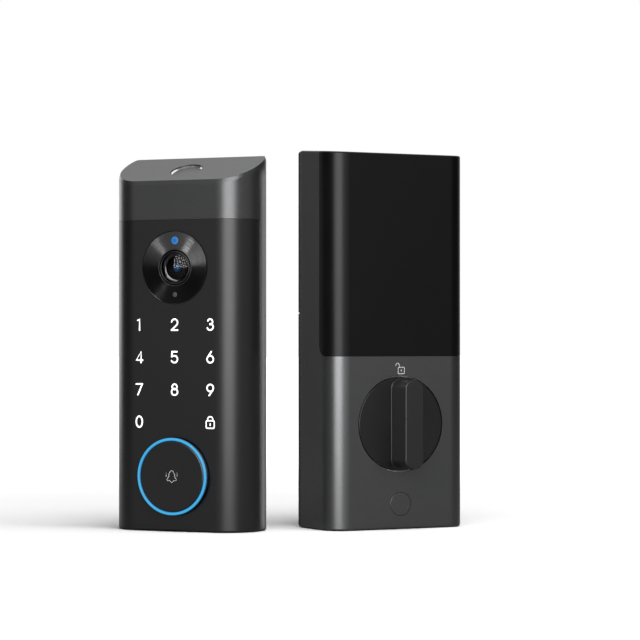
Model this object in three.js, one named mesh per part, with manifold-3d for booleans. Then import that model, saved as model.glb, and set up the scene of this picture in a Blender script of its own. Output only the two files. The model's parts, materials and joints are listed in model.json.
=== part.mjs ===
// A keypad smart lock for a door: the outer half with camera, keypad and doorbell, and the inner
// half with thumb turn and battery, stood side by side and splayed as they are shown for sale.
// Millimetres, +Z up. Each half is modelled with its door side at y = 0 and its front towards -Y.

import * as THREE from "three";
import { mergeVertices } from "three/addons/utils/BufferGeometryUtils.js";
import Module from "manifold-3d";

const wasm = await Module();
wasm.setup();

const DEGREE = Math.PI / 180;
const GAP = 0.3; // between neighbouring pieces
const OVERSHOOT = 1; // how far a cutting tool runs past what it cuts

// where the halves stand
const SPLAY = 26 * DEGREE;
const INNER_OFFSET = new THREE.Vector2(79.02, 18.9);

// outer half
const OUTER_WIDTH = 73;
const OUTER_DEPTH = 28;
const OUTER_BACK_Y = -0.5; // the rubber stands this far behind the housing
const OUTER_FRONT_FLAT = 21;
const OUTER_CORNER_DEPTH = 18;
const OUTER_BACK_CORNER = { across: 3.2, deep: 8.5 };
const LEAST_CORNER = 0.4; // what is left of a back corner where the plan is drawn in
const OUTER_FRONT_HEIGHT = 164;
const OUTER_BACK_HEIGHT = 176.5;
const HOUSING_WALL = 2;
const FLOOR = 3;
const FASCIA_THICKNESS = 2;
const FASCIA_TOP = 146;
const FASCIA_SIDE_DEPTH = 16.7;
const CAVITY_TOP = 171;
const BACK_PLATE = { halfWidth: 29.3, bottom: 3.4, top: 170.6, front: -3, back: -1.5 };
const SCREW_PLACES = [[-22.5, 14], [22.5, 14], [-22.5, 158], [22.5, 158]];

// camera
const CAMERA_Z = 123.3;
const BEZEL_RADIUS = 16.9;
const BEZEL_RIM = -0.15; // depths in the camera are measured from the fascia's face
const BEZEL_MOUTH = 0.3;
const BEZEL_BACK = 3;
const BARREL_RADIUS = 8.7;
const BARREL_FRONT = 0.4;
const LENS_RADIUS = 8;
const LENS_CROWN = -0.2;
const LENS_RIM = 2.2;
const STATUS_LIGHT = { radius: 1.75, rise: 12.7 };
const LIGHT_SENSOR = { radius: 1.2, rise: -12.7 };

// doorbell
const DOORBELL_Z = 25.7;
const DOORBELL_RADIUS = 18.1;
const DOORBELL_PROUD = 3.1;
const LIGHT_RING_WIDTH = 1.65;

// keypad board and fingerprint reader
const TOUCH_BOARD = { halfWidth: 22.6, bottom: 44.4, top: 103.6 };
const READER_Y = -16;
const READER_RADIUS = 7.8;

// key works: a vertical cylinder in the foot, turned through equal bevel gears to the tailpiece
const KEY_Y = -12.5;
const TAILPIECE_Z = 44;
const BEVEL = { teeth: 14, radius: 6, face: 2.6 };
const POST_SPACING = 17.5; // each post from the tailpiece, to the side
const CABLE_RISE = 20; // the outer cable hole above the tailpiece
const CABLE_HOLE_RADIUS = 5.9;

// inner half
const INNER_WIDTH = 74;
const INNER_DEPTH = 35;
const INNER_FRONT_HEIGHT = 177.7;
const INNER_BACK_HEIGHT = 180;
const INNER_CORNER = 10;
const INNER_BACK_CORNER = 1;
const PLATE_THICKNESS = 2.3;
const INNER_WALL = 2.5;
const COVER_BOTTOM = 81.8;
const COVER_DEPTH = 12.6;
const COVER_CORNER = 5.5;
const COVER_WALL = 2;
const BAY = { halfWidth: 32, bottom: 86, top: 172, floor: -6 };
const BAY_SCREW = { x: 26, z: 128 };
const FOOT_SCREW_Y = -6;
const WORKS_TOP = 79;

// thumb turn and drive
const TURN_Z = 49.7;
const CABLE_DROP = 20.7; // the inner cable hole below the thumb turn
const DIAL_RADIUS = 22.3;
const DIAL_HOLE_RADIUS = 22.9;
const DIAL_THICKNESS = 2.5;
const GRIP = { width: 9.8, length: 41.5, proud: 13.5, corner: 4 };
const HUB_RADIUS = 7;
const OUTPUT_GEAR = { teeth: 36, module: 1 };
const IDLER_SMALL = { teeth: 12, module: 1 };
const IDLER_LARGE = { teeth: 24, module: 0.8 };
const PINION = { teeth: 10, module: 0.8 };
const IDLER_DIRECTION = 45 * DEGREE;
const PINION_DIRECTION = -40 * DEGREE;
const SETUP_BUTTON = { radius: 5.5, z: 11.8 };

// finishes: colour, roughness, metalness
const GUNMETAL = [0x3e3f42, 0.38, 0.85];
const FASCIA_BLACK = [0x141516, 0.3, 0];
const COVER_BLACK = [0x0e0e0f, 0.42, 0];
const BRUSHED_DARK = [0x25272a, 0.28, 0.9];
const STEEL = [0x9a9ca0, 0.35, 1];
const DARK_STEEL = [0x2b2c2e, 0.5, 0.8];
const BRASS = [0xb08d4a, 0.35, 1];
const RUBBER = [0x161616, 0.85, 0];
const BLACK_PLASTIC = [0x1a1b1c, 0.55, 0];
const NYLON = [0xd8d6cc, 0.5, 0];
const GREEN_BOARD = [0x14532f, 0.5, 0];
const LENS_GLASS = [0x05060a, 0.05, 0];
const BLUE_LIGHT = [0x3fb4eb, 0.4, 0];
const BATTERY_BLUE = [0x20262e, 0.5, 0];

// ---------- joining and cutting

function solidOf(geometry) {
  const bare = geometry.clone();
  bare.deleteAttribute("normal");
  bare.deleteAttribute("uv");
  const welded = mergeVertices(bare, 1e-4);
  const mesh = new wasm.Mesh({
    numProp: 3,
    vertProperties: new Float32Array(welded.attributes.position.array),
    triVerts: new Uint32Array(welded.index.array),
  });
  return new wasm.Manifold(mesh);
}

function geometryOf(solid) {
  const mesh = solid.getMesh();
  const geometry = new THREE.BufferGeometry();
  geometry.setAttribute("position", new THREE.BufferAttribute(mesh.vertProperties, 3));
  geometry.setIndex(new THREE.BufferAttribute(mesh.triVerts, 1));
  return geometry;
}

function join(...geometries) {
  return geometryOf(geometries.map(solidOf).reduce((all, next) => all.add(next)));
}

function cut(base, ...tools) {
  return geometryOf(tools.map(solidOf).reduce((rest, tool) => rest.subtract(tool), solidOf(base)));
}

function common(first, second) {
  return geometryOf(solidOf(first).intersect(solidOf(second)));
}

// ---------- plain shapes

// a box between two corners
function box(x0, x1, y0, y1, z0, z1) {
  const geometry = new THREE.BoxGeometry(x1 - x0, y1 - y0, z1 - z0);
  return geometry.translate((x0 + x1) / 2, (y0 + y1) / 2, (z0 + z1) / 2);
}

// a round bar along Y from y0 to y1, about (x, z)
function barY(radius, y0, y1, x = 0, z = 0, sides = 20) {
  const geometry = new THREE.CylinderGeometry(radius, radius, y1 - y0, sides);
  return geometry.translate(x, (y0 + y1) / 2, z);
}

// a round bar along Z from z0 to z1, about (x, y)
function barZ(radius, z0, z1, x = 0, y = 0, sides = 20) {
  const geometry = new THREE.CylinderGeometry(radius, radius, z1 - z0, sides);
  return geometry.rotateX(Math.PI / 2).translate(x, y, (z0 + z1) / 2);
}

// a turned piece about the Y axis; the profile is a list of [radius, y] and starts and ends on the
// axis, or closes on itself
function turned(profile, sides = 28) {
  const points = profile.map(([radius, y]) => new THREE.Vector2(radius, y));
  const facesOut = THREE.ShapeUtils.area(points) > 0;
  return new THREE.LatheGeometry(facesOut ? points : points.reverse(), sides);
}

// a flat ring about the Y axis
function ringY(inner, outer, y0, y1, sides = 28) {
  return turned([[inner, y0], [inner, y1], [outer, y1], [outer, y0], [inner, y0]], sides);
}

// an outline in x and y carried up from z0 to z1
function raised(shape, z0, z1, curveSegments = 7) {
  const options = { depth: z1 - z0, bevelEnabled: false, curveSegments };
  return new THREE.ExtrudeGeometry(shape, options).translate(0, 0, z0);
}

// an outline in x and z carried from y0 to y1
function sunk(shape, y0, y1, curveSegments = 5) {
  return raised(shape, -y1, -y0, curveSegments).rotateX(Math.PI / 2);
}

function roundedRectangle(x0, x1, y0, y1, radius) {
  const shape = new THREE.Shape();
  shape.absarc(x1 - radius, y1 - radius, radius, 0, 90 * DEGREE);
  shape.absarc(x0 + radius, y1 - radius, radius, 90 * DEGREE, 180 * DEGREE);
  shape.absarc(x0 + radius, y0 + radius, radius, 180 * DEGREE, 270 * DEGREE);
  shape.absarc(x1 - radius, y0 + radius, radius, 270 * DEGREE, 360 * DEGREE);
  return shape;
}

// everything above a plane that climbs from the front edge of a half to its back
function aboveSlope(frontY, frontZ, backY, backZ, halfWidth) {
  const climb = (backZ - frontZ) / (backY - frontY);
  const top = backZ + 20;
  const shape = new THREE.Shape();
  shape.moveTo(frontY - OVERSHOOT, frontZ - climb * OVERSHOOT);
  shape.lineTo(backY + OVERSHOOT, backZ + climb * OVERSHOOT);
  shape.lineTo(backY + OVERSHOOT, top);
  shape.lineTo(frontY - OVERSHOOT, top);
  return acrossX(shape, halfWidth);
}

// an outline in y and z carried across x, from -halfWidth to halfWidth
function acrossX(shape, halfWidth, curveSegments = 6) {
  const upright = raised(shape, -halfWidth, halfWidth, curveSegments);
  return upright.rotateX(Math.PI / 2).rotateZ(Math.PI / 2);
}

// ---------- gears

// the outline of an involute gear with a tooth centred on the angle `phase`
function gearOutline({ teeth, module }, phase, slack = 0.09) {
  const pressure = 20 * DEGREE;
  const pitch = (teeth * module) / 2;
  const base = pitch * Math.cos(pressure);
  const involute = (angle) => Math.tan(angle) - angle;
  const halfTooth = (radius) => {
    const angle = Math.acos(Math.min(1, base / radius));
    return Math.PI / (2 * teeth) + involute(pressure) - involute(angle) - (slack * module) / pitch;
  };
  const radii = [pitch - 1.2 * module, pitch, pitch + 0.9 * module];
  const flank = radii.map((radius) => [radius, halfTooth(radius)]);
  const points = [];
  for (let tooth = 0; tooth < teeth; tooth += 1) {
    const centre = phase + (tooth * 2 * Math.PI) / teeth;
    const rising = flank.map(([radius, half]) => [radius, centre - half]);
    const falling = flank.map(([radius, half]) => [radius, centre + half]).reverse();
    for (const [radius, angle] of [...rising, ...falling]) {
      points.push(new THREE.Vector2(radius * Math.cos(angle), radius * Math.sin(angle)));
    }
  }
  return new THREE.Shape(points);
}

// a spur gear about the Y axis, from y0 to y1
function spurGear(gear, phase, y0, y1) {
  return sunk(gearOutline(gear, phase), y0, y1);
}

// a bevel gear about the Z axis: its large end at z = 0, narrowing towards a point at z = radius
function bevelGear(phase) {
  const module = (2 * BEVEL.radius) / BEVEL.teeth;
  const outline = gearOutline({ teeth: BEVEL.teeth, module }, phase, 0.12);
  const geometry = raised(outline, 0, BEVEL.face);
  const place = geometry.attributes.position;
  for (let i = 0; i < place.count; i += 1) {
    const share = 1 - place.getZ(i) / BEVEL.radius;
    place.setXY(i, place.getX(i) * share, place.getY(i) * share);
  }
  return geometry;
}

// ---------- scene graph

function piece(name, geometry, [color, roughness, metalness], x = 0, y = 0, z = 0) {
  const material = new THREE.MeshStandardMaterial({ color, roughness, metalness });
  const mesh = new THREE.Mesh(geometry, material);
  mesh.name = name;
  mesh.position.set(x, y, z);
  return mesh;
}

function group(x, y, z, ...children) {
  const result = new THREE.Group();
  result.position.set(x, y, z);
  result.add(...children);
  return result;
}

// ---------- outer half

// the D-shaped plan of the outer half, drawn in by `inset`: flat front, deep elliptical front
// corners, small back corners
function outerPlan(inset, backInset = inset) {
  const side = OUTER_WIDTH / 2 - inset;
  const cornerY = -OUTER_DEPTH + OUTER_CORNER_DEPTH;
  const flat = OUTER_FRONT_FLAT;
  const across = Math.max(OUTER_BACK_CORNER.across - inset, LEAST_CORNER);
  const deep = OUTER_BACK_CORNER.deep - backInset;
  const backX = side - across;
  const backY = OUTER_BACK_Y - backInset - deep;
  const shape = new THREE.Shape();
  const front = OUTER_CORNER_DEPTH - inset;
  shape.absellipse(backX, backY, across, deep, 0, 90 * DEGREE);
  shape.absellipse(-backX, backY, across, deep, 90 * DEGREE, 180 * DEGREE);
  shape.absellipse(-flat, cornerY, side - flat, front, 180 * DEGREE, 270 * DEGREE);
  shape.absellipse(flat, cornerY, side - flat, front, 270 * DEGREE, 360 * DEGREE);
  return shape;
}

function belowOuterTop(geometry, drop) {
  const front = OUTER_FRONT_HEIGHT - drop;
  const back = OUTER_BACK_HEIGHT - drop;
  return cut(geometry, aboveSlope(-OUTER_DEPTH, front, OUTER_BACK_Y, back, OUTER_WIDTH));
}

// the stretch of the outer half that the fascia wraps, up to `top` and back to `back`
function fasciaZone(back, bottom, top) {
  const side = OUTER_WIDTH / 2 + OVERSHOOT;
  return box(-side, side, -OUTER_DEPTH - OVERSHOOT, back, bottom, top);
}

function outerHousing() {
  const fasciaBack = -OUTER_DEPTH + FASCIA_SIDE_DEPTH;
  const coreInset = FASCIA_THICKNESS + GAP;
  const wallBack = -OUTER_DEPTH + coreInset + HOUSING_WALL;
  const block = belowOuterTop(raised(outerPlan(0), 0, OUTER_BACK_HEIGHT), 0);
  const core = raised(outerPlan(coreInset), -2 * OVERSHOOT, FASCIA_TOP + OVERSHOOT);
  const fasciaRoom = cut(fasciaZone(fasciaBack, -OVERSHOOT, FASCIA_TOP), core);
  const inside = outerPlan(coreInset + HOUSING_WALL, coreInset);
  const cavity = belowOuterTop(raised(inside, FLOOR, OUTER_BACK_HEIGHT), FLOOR);
  const openingHalf = BACK_PLATE.halfWidth + GAP;
  const plateOpening = box(-openingHalf, openingHalf, -4, OVERSHOOT, FLOOR, CAVITY_TOP);
  const shell = cut(block, fasciaRoom, cavity, plateOpening);
  const bossBack = BACK_PLATE.front - GAP;
  const bosses = SCREW_PLACES.map(([x, z]) => barY(3, wallBack - OVERSHOOT, bossBack, x, z, 12));
  const bossHoles = SCREW_PLACES.map(([x, z]) => barY(1.3, -18, 0, x, z, 8));
  const touchWindow = box(
    -TOUCH_BOARD.halfWidth - GAP, TOUCH_BOARD.halfWidth + GAP,
    -OUTER_DEPTH, wallBack + OVERSHOOT,
    TOUCH_BOARD.bottom - GAP, TOUCH_BOARD.top + GAP,
  );
  const cameraHole = barY(BEZEL_RADIUS - 1.6, -OUTER_DEPTH, wallBack + OVERSHOOT, 0, CAMERA_Z);
  const stemHole = barY(3.4, -OUTER_DEPTH, wallBack + OVERSHOOT, 0, DOORBELL_Z);
  const cylinderHole = barZ(6.3, -OVERSHOOT, FLOOR + OVERSHOOT, 0, KEY_Y);
  const soundSlots = [-17, -13, -9].map((y) => box(-25, -13, y, y + 1.4, -OVERSHOOT, FLOOR + 1));
  const pocket = onSlope(barZ(READER_RADIUS + GAP, -1.7, 3));
  const wireHole = onSlope(barZ(3, -5, 0));
  return cut(
    join(shell, ...bosses),
    ...bossHoles, touchWindow, cameraHole, stemHole, cylinderHole, ...soundSlots, pocket, wireHole,
  );
}

function outerSlope() {
  return Math.atan2(OUTER_BACK_HEIGHT - OUTER_FRONT_HEIGHT, OUTER_BACK_Y + OUTER_DEPTH);
}

function readerHeight() {
  return OUTER_FRONT_HEIGHT + Math.tan(outerSlope()) * (READER_Y + OUTER_DEPTH);
}

// a shape drawn about the reader's centre on a level face, moved to its place on the sloped top
function onSlope(geometry) {
  return geometry.rotateX(outerSlope()).translate(0, READER_Y, readerHeight());
}

function frontFascia() {
  const back = -OUTER_DEPTH + FASCIA_SIDE_DEPTH - GAP;
  const outside = raised(outerPlan(0), 0, FASCIA_TOP - GAP);
  const inside = raised(outerPlan(FASCIA_THICKNESS), -OVERSHOOT, FASCIA_TOP);
  const skin = common(cut(outside, inside), fasciaZone(back, -OVERSHOOT, FASCIA_TOP));
  const cameraHole = barY(BEZEL_RADIUS + GAP, -30, -20, 0, CAMERA_Z, 32);
  const bellHole = barY(DOORBELL_RADIUS + GAP, -30, -20, 0, DOORBELL_Z, 32);
  return cut(skin, cameraHole, bellHole);
}

// the bezel's shallow dish; its flange lies on the housing's wall, and its spigot in the wall's hole
function cameraBezel() {
  const mouth = BARREL_RADIUS + GAP;
  const spigot = BEZEL_RADIUS - 1.9;
  const dish = turned([
    [mouth, BEZEL_MOUTH], [BEZEL_RADIUS, BEZEL_RIM], [BEZEL_RADIUS, 1.9], [spigot, 1.9],
    [spigot, BEZEL_BACK], [mouth, BEZEL_BACK], [mouth, BEZEL_MOUTH],
  ]);
  const holes = [STATUS_LIGHT, LIGHT_SENSOR].map(({ radius, rise }) => (
    barY(radius + GAP, BEZEL_RIM - OVERSHOOT, BEZEL_BACK + OVERSHOOT, 0, rise, 16)
  ));
  return cut(dish, ...holes);
}

function cameraBarrel() {
  const bore = LENS_RADIUS + GAP;
  const seat = LENS_RIM + 2.6;
  return turned([
    [0, seat], [bore, seat], [bore, BARREL_FRONT], [BARREL_RADIUS, BARREL_FRONT],
    [BARREL_RADIUS, 10], [7, 10], [7, 14], [0, 14],
  ]);
}

function cameraLens() {
  const back = LENS_RIM + 2.2;
  const dome = [0, 1, 2, 3, 4].map((i) => {
    const angle = (i / 4) * 90 * DEGREE;
    return [LENS_RADIUS * Math.sin(angle), LENS_RIM - (LENS_RIM - LENS_CROWN) * Math.cos(angle)];
  });
  return turned([...dome, [LENS_RADIUS, back], [0, back]]);
}

// one of the small windows in the camera's bezel, from just under the bezel's face
function bezelWindow({ radius, rise }) {
  const share = (BEZEL_RADIUS - Math.abs(rise)) / (BEZEL_RADIUS - BARREL_RADIUS);
  const face = BEZEL_RIM + (BEZEL_MOUTH - BEZEL_RIM) * share;
  return barY(radius, face + 0.1, face + 3.2, 0, rise, 16);
}

function camera() {
  return group(
    0, -OUTER_DEPTH, CAMERA_Z,
    piece("camera_bezel", cameraBezel(), BRUSHED_DARK),
    piece("camera_barrel", cameraBarrel(), BLACK_PLASTIC),
    piece("camera_lens", cameraLens(), LENS_GLASS),
    piece("camera_board", box(-11, 11, 14.4, 15.6, -11, 11), GREEN_BOARD),
    piece("status_light_window", bezelWindow(STATUS_LIGHT), BLUE_LIGHT),
    piece("light_sensor_window", bezelWindow(LIGHT_SENSOR), BLACK_PLASTIC),
  );
}

// the pressed button, its lit ring and its clip travel 0.8 mm; the switch and its board stay
function doorbell() {
  const faceRadius = DOORBELL_RADIUS - LIGHT_RING_WIDTH - GAP;
  const ringBack = -DOORBELL_PROUD + 0.8;
  const button = turned([
    [0, -DOORBELL_PROUD], [faceRadius, -DOORBELL_PROUD], [faceRadius, ringBack + GAP],
    [DOORBELL_RADIUS, ringBack + GAP], [DOORBELL_RADIUS, 1.1], [3, 1.1], [3, 5.4], [0, 5.4],
  ]);
  const ring = ringY(DOORBELL_RADIUS - LIGHT_RING_WIDTH, DOORBELL_RADIUS, -DOORBELL_PROUD, ringBack);
  const plunger = barY(1.6, 6.3, 7, 0, 0, 12);
  return group(
    0, -OUTER_DEPTH, DOORBELL_Z,
    piece("doorbell_button", button, FASCIA_BLACK),
    piece("doorbell_light_ring", ring, BLUE_LIGHT),
    piece("doorbell_clip", ringY(3.25, 5, 4.6, 5.3, 16), STEEL),
    piece("doorbell_switch", join(plunger, box(-3, 3, 6.7, 7.5, -3, 3)), BLACK_PLASTIC),
    piece("doorbell_board", box(-14, 14, 7.8, 9, -11.5, 11.5), GREEN_BOARD),
  );
}

function fingerprintReader() {
  const sensor = barZ(READER_RADIUS - 0.9, -1.4, -0.5, 0, 0, 32);
  const trim = ringY(READER_RADIUS - 0.6, READER_RADIUS, -1.4, 0).rotateX(Math.PI / 2);
  const reader = group(
    0, READER_Y, readerHeight(),
    piece("fingerprint_sensor", sensor, GUNMETAL),
    piece("fingerprint_trim_ring", trim, BRUSHED_DARK),
  );
  reader.rotation.x = outerSlope();
  return reader;
}

function keyWorks() {
  const plugTop = TAILPIECE_Z - BEVEL.radius - 3.7;
  const barrel = join(
    cut(barZ(6, 0.8, 30), barZ(4.3, 0, 31)),
    box(-2.5, 2.5, 5.5, 8.8, 3.6, 30),
  );
  const keyway = box(-1.1, 1.1, -3.4, 3.4, 0, 24);
  const plug = join(cut(barZ(4, 0.8, plugTop), keyway), barZ(2.2, plugTop - 1, plugTop + 3));
  const plugGear = cut(join(bevelGear(90 * DEGREE), barZ(4, -3, 0.5)), barZ(2.5, -4, 4));
  const gapDown = -90 * DEGREE + Math.PI / BEVEL.teeth;
  const tailGear = cut(join(bevelGear(gapDown), barZ(4, -2.2, 0.5)), barZ(2.5, -4, 4));
  const tailpiece = join(
    barY(2.2, -3.4, 3), barY(3.5, 2.5, 6.4), box(-3.2, 3.2, 6, 32, -1.2, 1.2),
  );
  const works = group(
    0, KEY_Y, 0,
    piece("key_cylinder", barrel, BRASS),
    piece("key_plug", plug, BRASS),
    piece("plug_gear", plugGear, STEEL, 0, 0, TAILPIECE_Z - BEVEL.radius),
    piece("tailpiece_gear", tailGear.rotateX(Math.PI / 2), STEEL, 0, BEVEL.radius, TAILPIECE_Z),
    piece("tailpiece", tailpiece, STEEL, 0, BEVEL.radius, TAILPIECE_Z),
  );
  const bush = turned([[3.8, -3.6], [3.8, -0.4], [6, -0.4], [6, -3.6], [3.8, -3.6]], 24);
  works.add(piece("tailpiece_bush", bush.translate(0, -KEY_Y, TAILPIECE_Z), NYLON));
  return works;
}

function backPlate() {
  const { halfWidth, bottom, top, front, back } = BACK_PLATE;
  const sheet = sunk(roundedRectangle(-halfWidth, halfWidth, bottom, top, 3), front, back, 3);
  const tailHole = barY(6.3, -5, 1, 0, TAILPIECE_Z);
  const posts = [-1, 1].map((side) => barY(4.3, -5, 1, side * POST_SPACING, TAILPIECE_Z));
  const cable = barY(CABLE_HOLE_RADIUS, -5, 1, 0, TAILPIECE_Z + CABLE_RISE);
  const screws = SCREW_PLACES.map(([x, z]) => barY(1.8, -5, 1, x, z, 12));
  return cut(sheet, tailHole, ...posts, cable, ...screws);
}

function gasket() {
  const { halfWidth, bottom, top, back } = BACK_PLATE;
  const outline = roundedRectangle(-halfWidth, halfWidth, bottom, top, 3);
  const window = roundedRectangle(-halfWidth + 3.6, halfWidth - 3.6, bottom + 3.6, top - 3.6, 2);
  return cut(sunk(outline, back + GAP, 0, 3), sunk(window, -5, 1, 3));
}

// a post with a blind threaded bore that opens towards the other half
function mountingPost() {
  return turned([
    [0, -5.3], [6, -5.3], [6, -3.3], [4, -3.3], [4, 16], [2.2, 16], [2.2, 3], [0, 3],
  ], 20);
}

// a rubber sleeve for the cable, in the hole through a plate from y0 to y1
function grommet(y0, y1) {
  const inner = CABLE_HOLE_RADIUS - 1.3;
  const sleeve = CABLE_HOLE_RADIUS - GAP;
  const flange = CABLE_HOLE_RADIUS + 1.1;
  return turned([
    [inner, y0 - 1.2], [inner, y1 + 0.6], [sleeve, y1 + 0.6], [sleeve, y0 - GAP],
    [flange, y0 - GAP], [flange, y0 - 1.2], [inner, y0 - 1.2],
  ], 20);
}

// a pan-head screw along Y: its head at y = 0 to `head`, its shank on the other side
function panScrew(head, length) {
  const shank = -Math.sign(head) * length;
  return turned([[0, head], [2.6, head], [2.6, 0], [1, 0], [1, shank], [0, shank]], 12);
}

function outerScrews() {
  const seat = BACK_PLATE.back + GAP;
  return SCREW_PLACES.map(([x, z], i) => (
    piece("back_plate_screw_" + (i + 1), panScrew(1.1, 9), STEEL, x, seat, z)
  ));
}

function outerHalf() {
  const speaker = join(box(-26, -11, -18.5, -4.5, 3.4, 8), barZ(5, 7.5, 9, -18.5, -11.5));
  const chips = [box(-16, -2, -19.6, -17.6, 62, 76), box(6, 18, -19.6, -18, 84, 96)];
  const board = join(box(-25, 25, -21, -19.4, 54, 106), ...chips);
  const { halfWidth, bottom, top } = TOUCH_BOARD;
  const touchBoard = box(-halfWidth, halfWidth, -25.6, -24.4, bottom, top);
  const cableGrommet = grommet(BACK_PLATE.front, BACK_PLATE.back);
  return group(
    0, 0, 0,
    piece("exterior_housing", outerHousing(), GUNMETAL),
    piece("front_fascia", frontFascia(), FASCIA_BLACK),
    camera(),
    doorbell(),
    fingerprintReader(),
    piece("keypad_touch_board", touchBoard, GREEN_BOARD),
    piece("main_board", board, GREEN_BOARD),
    piece("speaker", speaker, BLACK_PLASTIC),
    keyWorks(),
    piece("exterior_back_plate", backPlate(), STEEL),
    piece("exterior_gasket", gasket(), RUBBER),
    piece("mounting_post_left", mountingPost(), STEEL, -POST_SPACING, 0, TAILPIECE_Z),
    piece("mounting_post_right", mountingPost(), STEEL, POST_SPACING, 0, TAILPIECE_Z),
    piece("exterior_cable_grommet", cableGrommet, RUBBER, 0, 0, TAILPIECE_Z + CABLE_RISE),
    ...outerScrews(),
  );
}

// ---------- inner half

function innerPlan(inset) {
  const side = INNER_WIDTH / 2 - inset;
  const front = -INNER_DEPTH + inset;
  const back = -PLATE_THICKNESS - GAP;
  const corner = INNER_CORNER - inset;
  const backX = side - INNER_BACK_CORNER;
  const backY = back - INNER_BACK_CORNER;
  const shape = new THREE.Shape();
  shape.absarc(backX, backY, INNER_BACK_CORNER, 0, 90 * DEGREE);
  shape.absarc(-backX, backY, INNER_BACK_CORNER, 90 * DEGREE, 180 * DEGREE);
  shape.absarc(-side + corner, front + corner, corner, 180 * DEGREE, 270 * DEGREE);
  shape.absarc(side - corner, front + corner, corner, 270 * DEGREE, 360 * DEGREE);
  return shape;
}

function belowInnerTop(geometry, drop) {
  const front = INNER_FRONT_HEIGHT - drop;
  const back = INNER_BACK_HEIGHT - drop;
  return cut(geometry, aboveSlope(-INNER_DEPTH, front, -PLATE_THICKNESS, back, INNER_WIDTH));
}

// the side view of what the battery cover takes up, with its lower back corner rounded, grown by
// `grow` at the back and below
function coverZone(grow) {
  const back = -INNER_DEPTH + COVER_DEPTH + grow;
  const bottom = COVER_BOTTOM - grow;
  const top = INNER_BACK_HEIGHT + OVERSHOOT;
  const radius = COVER_CORNER + grow;
  const shape = new THREE.Shape();
  shape.moveTo(-INNER_DEPTH - OVERSHOOT, top);
  shape.lineTo(-INNER_DEPTH - OVERSHOOT, bottom);
  shape.absarc(back - radius, bottom + radius, radius, -90 * DEGREE, 0);
  shape.lineTo(back, top);
  return acrossX(shape, INNER_WIDTH / 2 + OVERSHOOT);
}

function innerHousing() {
  const backY = -PLATE_THICKNESS - GAP;
  const block = belowInnerTop(raised(innerPlan(0), 0, INNER_BACK_HEIGHT, 8), 0);
  const side = INNER_WIDTH / 2 - INNER_WALL;
  const works = join(
    raised(innerPlan(INNER_WALL), FLOOR, WORKS_TOP, 5),
    box(-side, side, -12, backY + OVERSHOOT, FLOOR, WORKS_TOP),
  );
  const bay = box(-BAY.halfWidth, BAY.halfWidth, -INNER_DEPTH, BAY.floor, BAY.bottom, BAY.top);
  const wireSlot = box(-6.5, 6.5, -16.5, -10.5, WORKS_TOP - OVERSHOOT, BAY.bottom + OVERSHOOT);
  const wallFront = -INNER_DEPTH - OVERSHOOT;
  const wallBack = -INNER_DEPTH + INNER_WALL + OVERSHOOT;
  const dialHole = barY(DIAL_HOLE_RADIUS, wallFront, wallBack, 0, TURN_Z, 40);
  const buttonHole = barY(SETUP_BUTTON.radius + GAP, wallFront, wallBack, 0, SETUP_BUTTON.z);
  const bayHoles = [-1, 1].map((side) => barY(1.8, -7, 0, side * BAY_SCREW.x, BAY_SCREW.z, 12));
  const footSink = barZ(3.1, -OVERSHOOT, 1.8, 0, FOOT_SCREW_Y);
  const footHole = barZ(1.8, 0, FLOOR + OVERSHOOT, 0, FOOT_SCREW_Y, 12);
  return cut(
    block, coverZone(GAP), works, bay, wireSlot, dialHole, buttonHole, ...bayHoles, footSink, footHole,
  );
}

function batteryCover() {
  const outside = belowInnerTop(raised(innerPlan(0), 0, INNER_BACK_HEIGHT, 8), 0);
  const inside = belowInnerTop(raised(innerPlan(COVER_WALL), 0, INNER_BACK_HEIGHT, 8), COVER_WALL);
  return cut(common(outside, coverZone(0)), inside);
}

function mountingPlate() {
  const half = INNER_WIDTH / 2 - 0.5;
  const outline = roundedRectangle(-half, half, 0, INNER_BACK_HEIGHT - 0.2, 1.5);
  const sheet = sunk(outline, -PLATE_THICKNESS, 0, 3);
  const footTab = box(-5, 5, -9.5, -1, 3.4, 5.4);
  const hubHole = barY(8.4, -5, 1, 0, TURN_Z);
  const boltHoles = [-1, 1].map((side) => barY(2.8, -5, 1, side * POST_SPACING, TURN_Z, 16));
  const cableHole = barY(CABLE_HOLE_RADIUS, -5, 1, 0, TURN_Z - CABLE_DROP);
  const screwHoles = [-1, 1].map((side) => barY(1.3, -5, 1, side * BAY_SCREW.x, BAY_SCREW.z, 12));
  const tabHole = barZ(1.3, 3, 6, 0, FOOT_SCREW_Y, 12);
  const edgeNotch = box(-half - OVERSHOOT, -half + 0.5, -5, 1, 102, 102.6);
  return cut(join(sheet, footTab), hubHole, ...boltHoles, cableHole, ...screwHoles, tabHole, edgeNotch);
}

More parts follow.
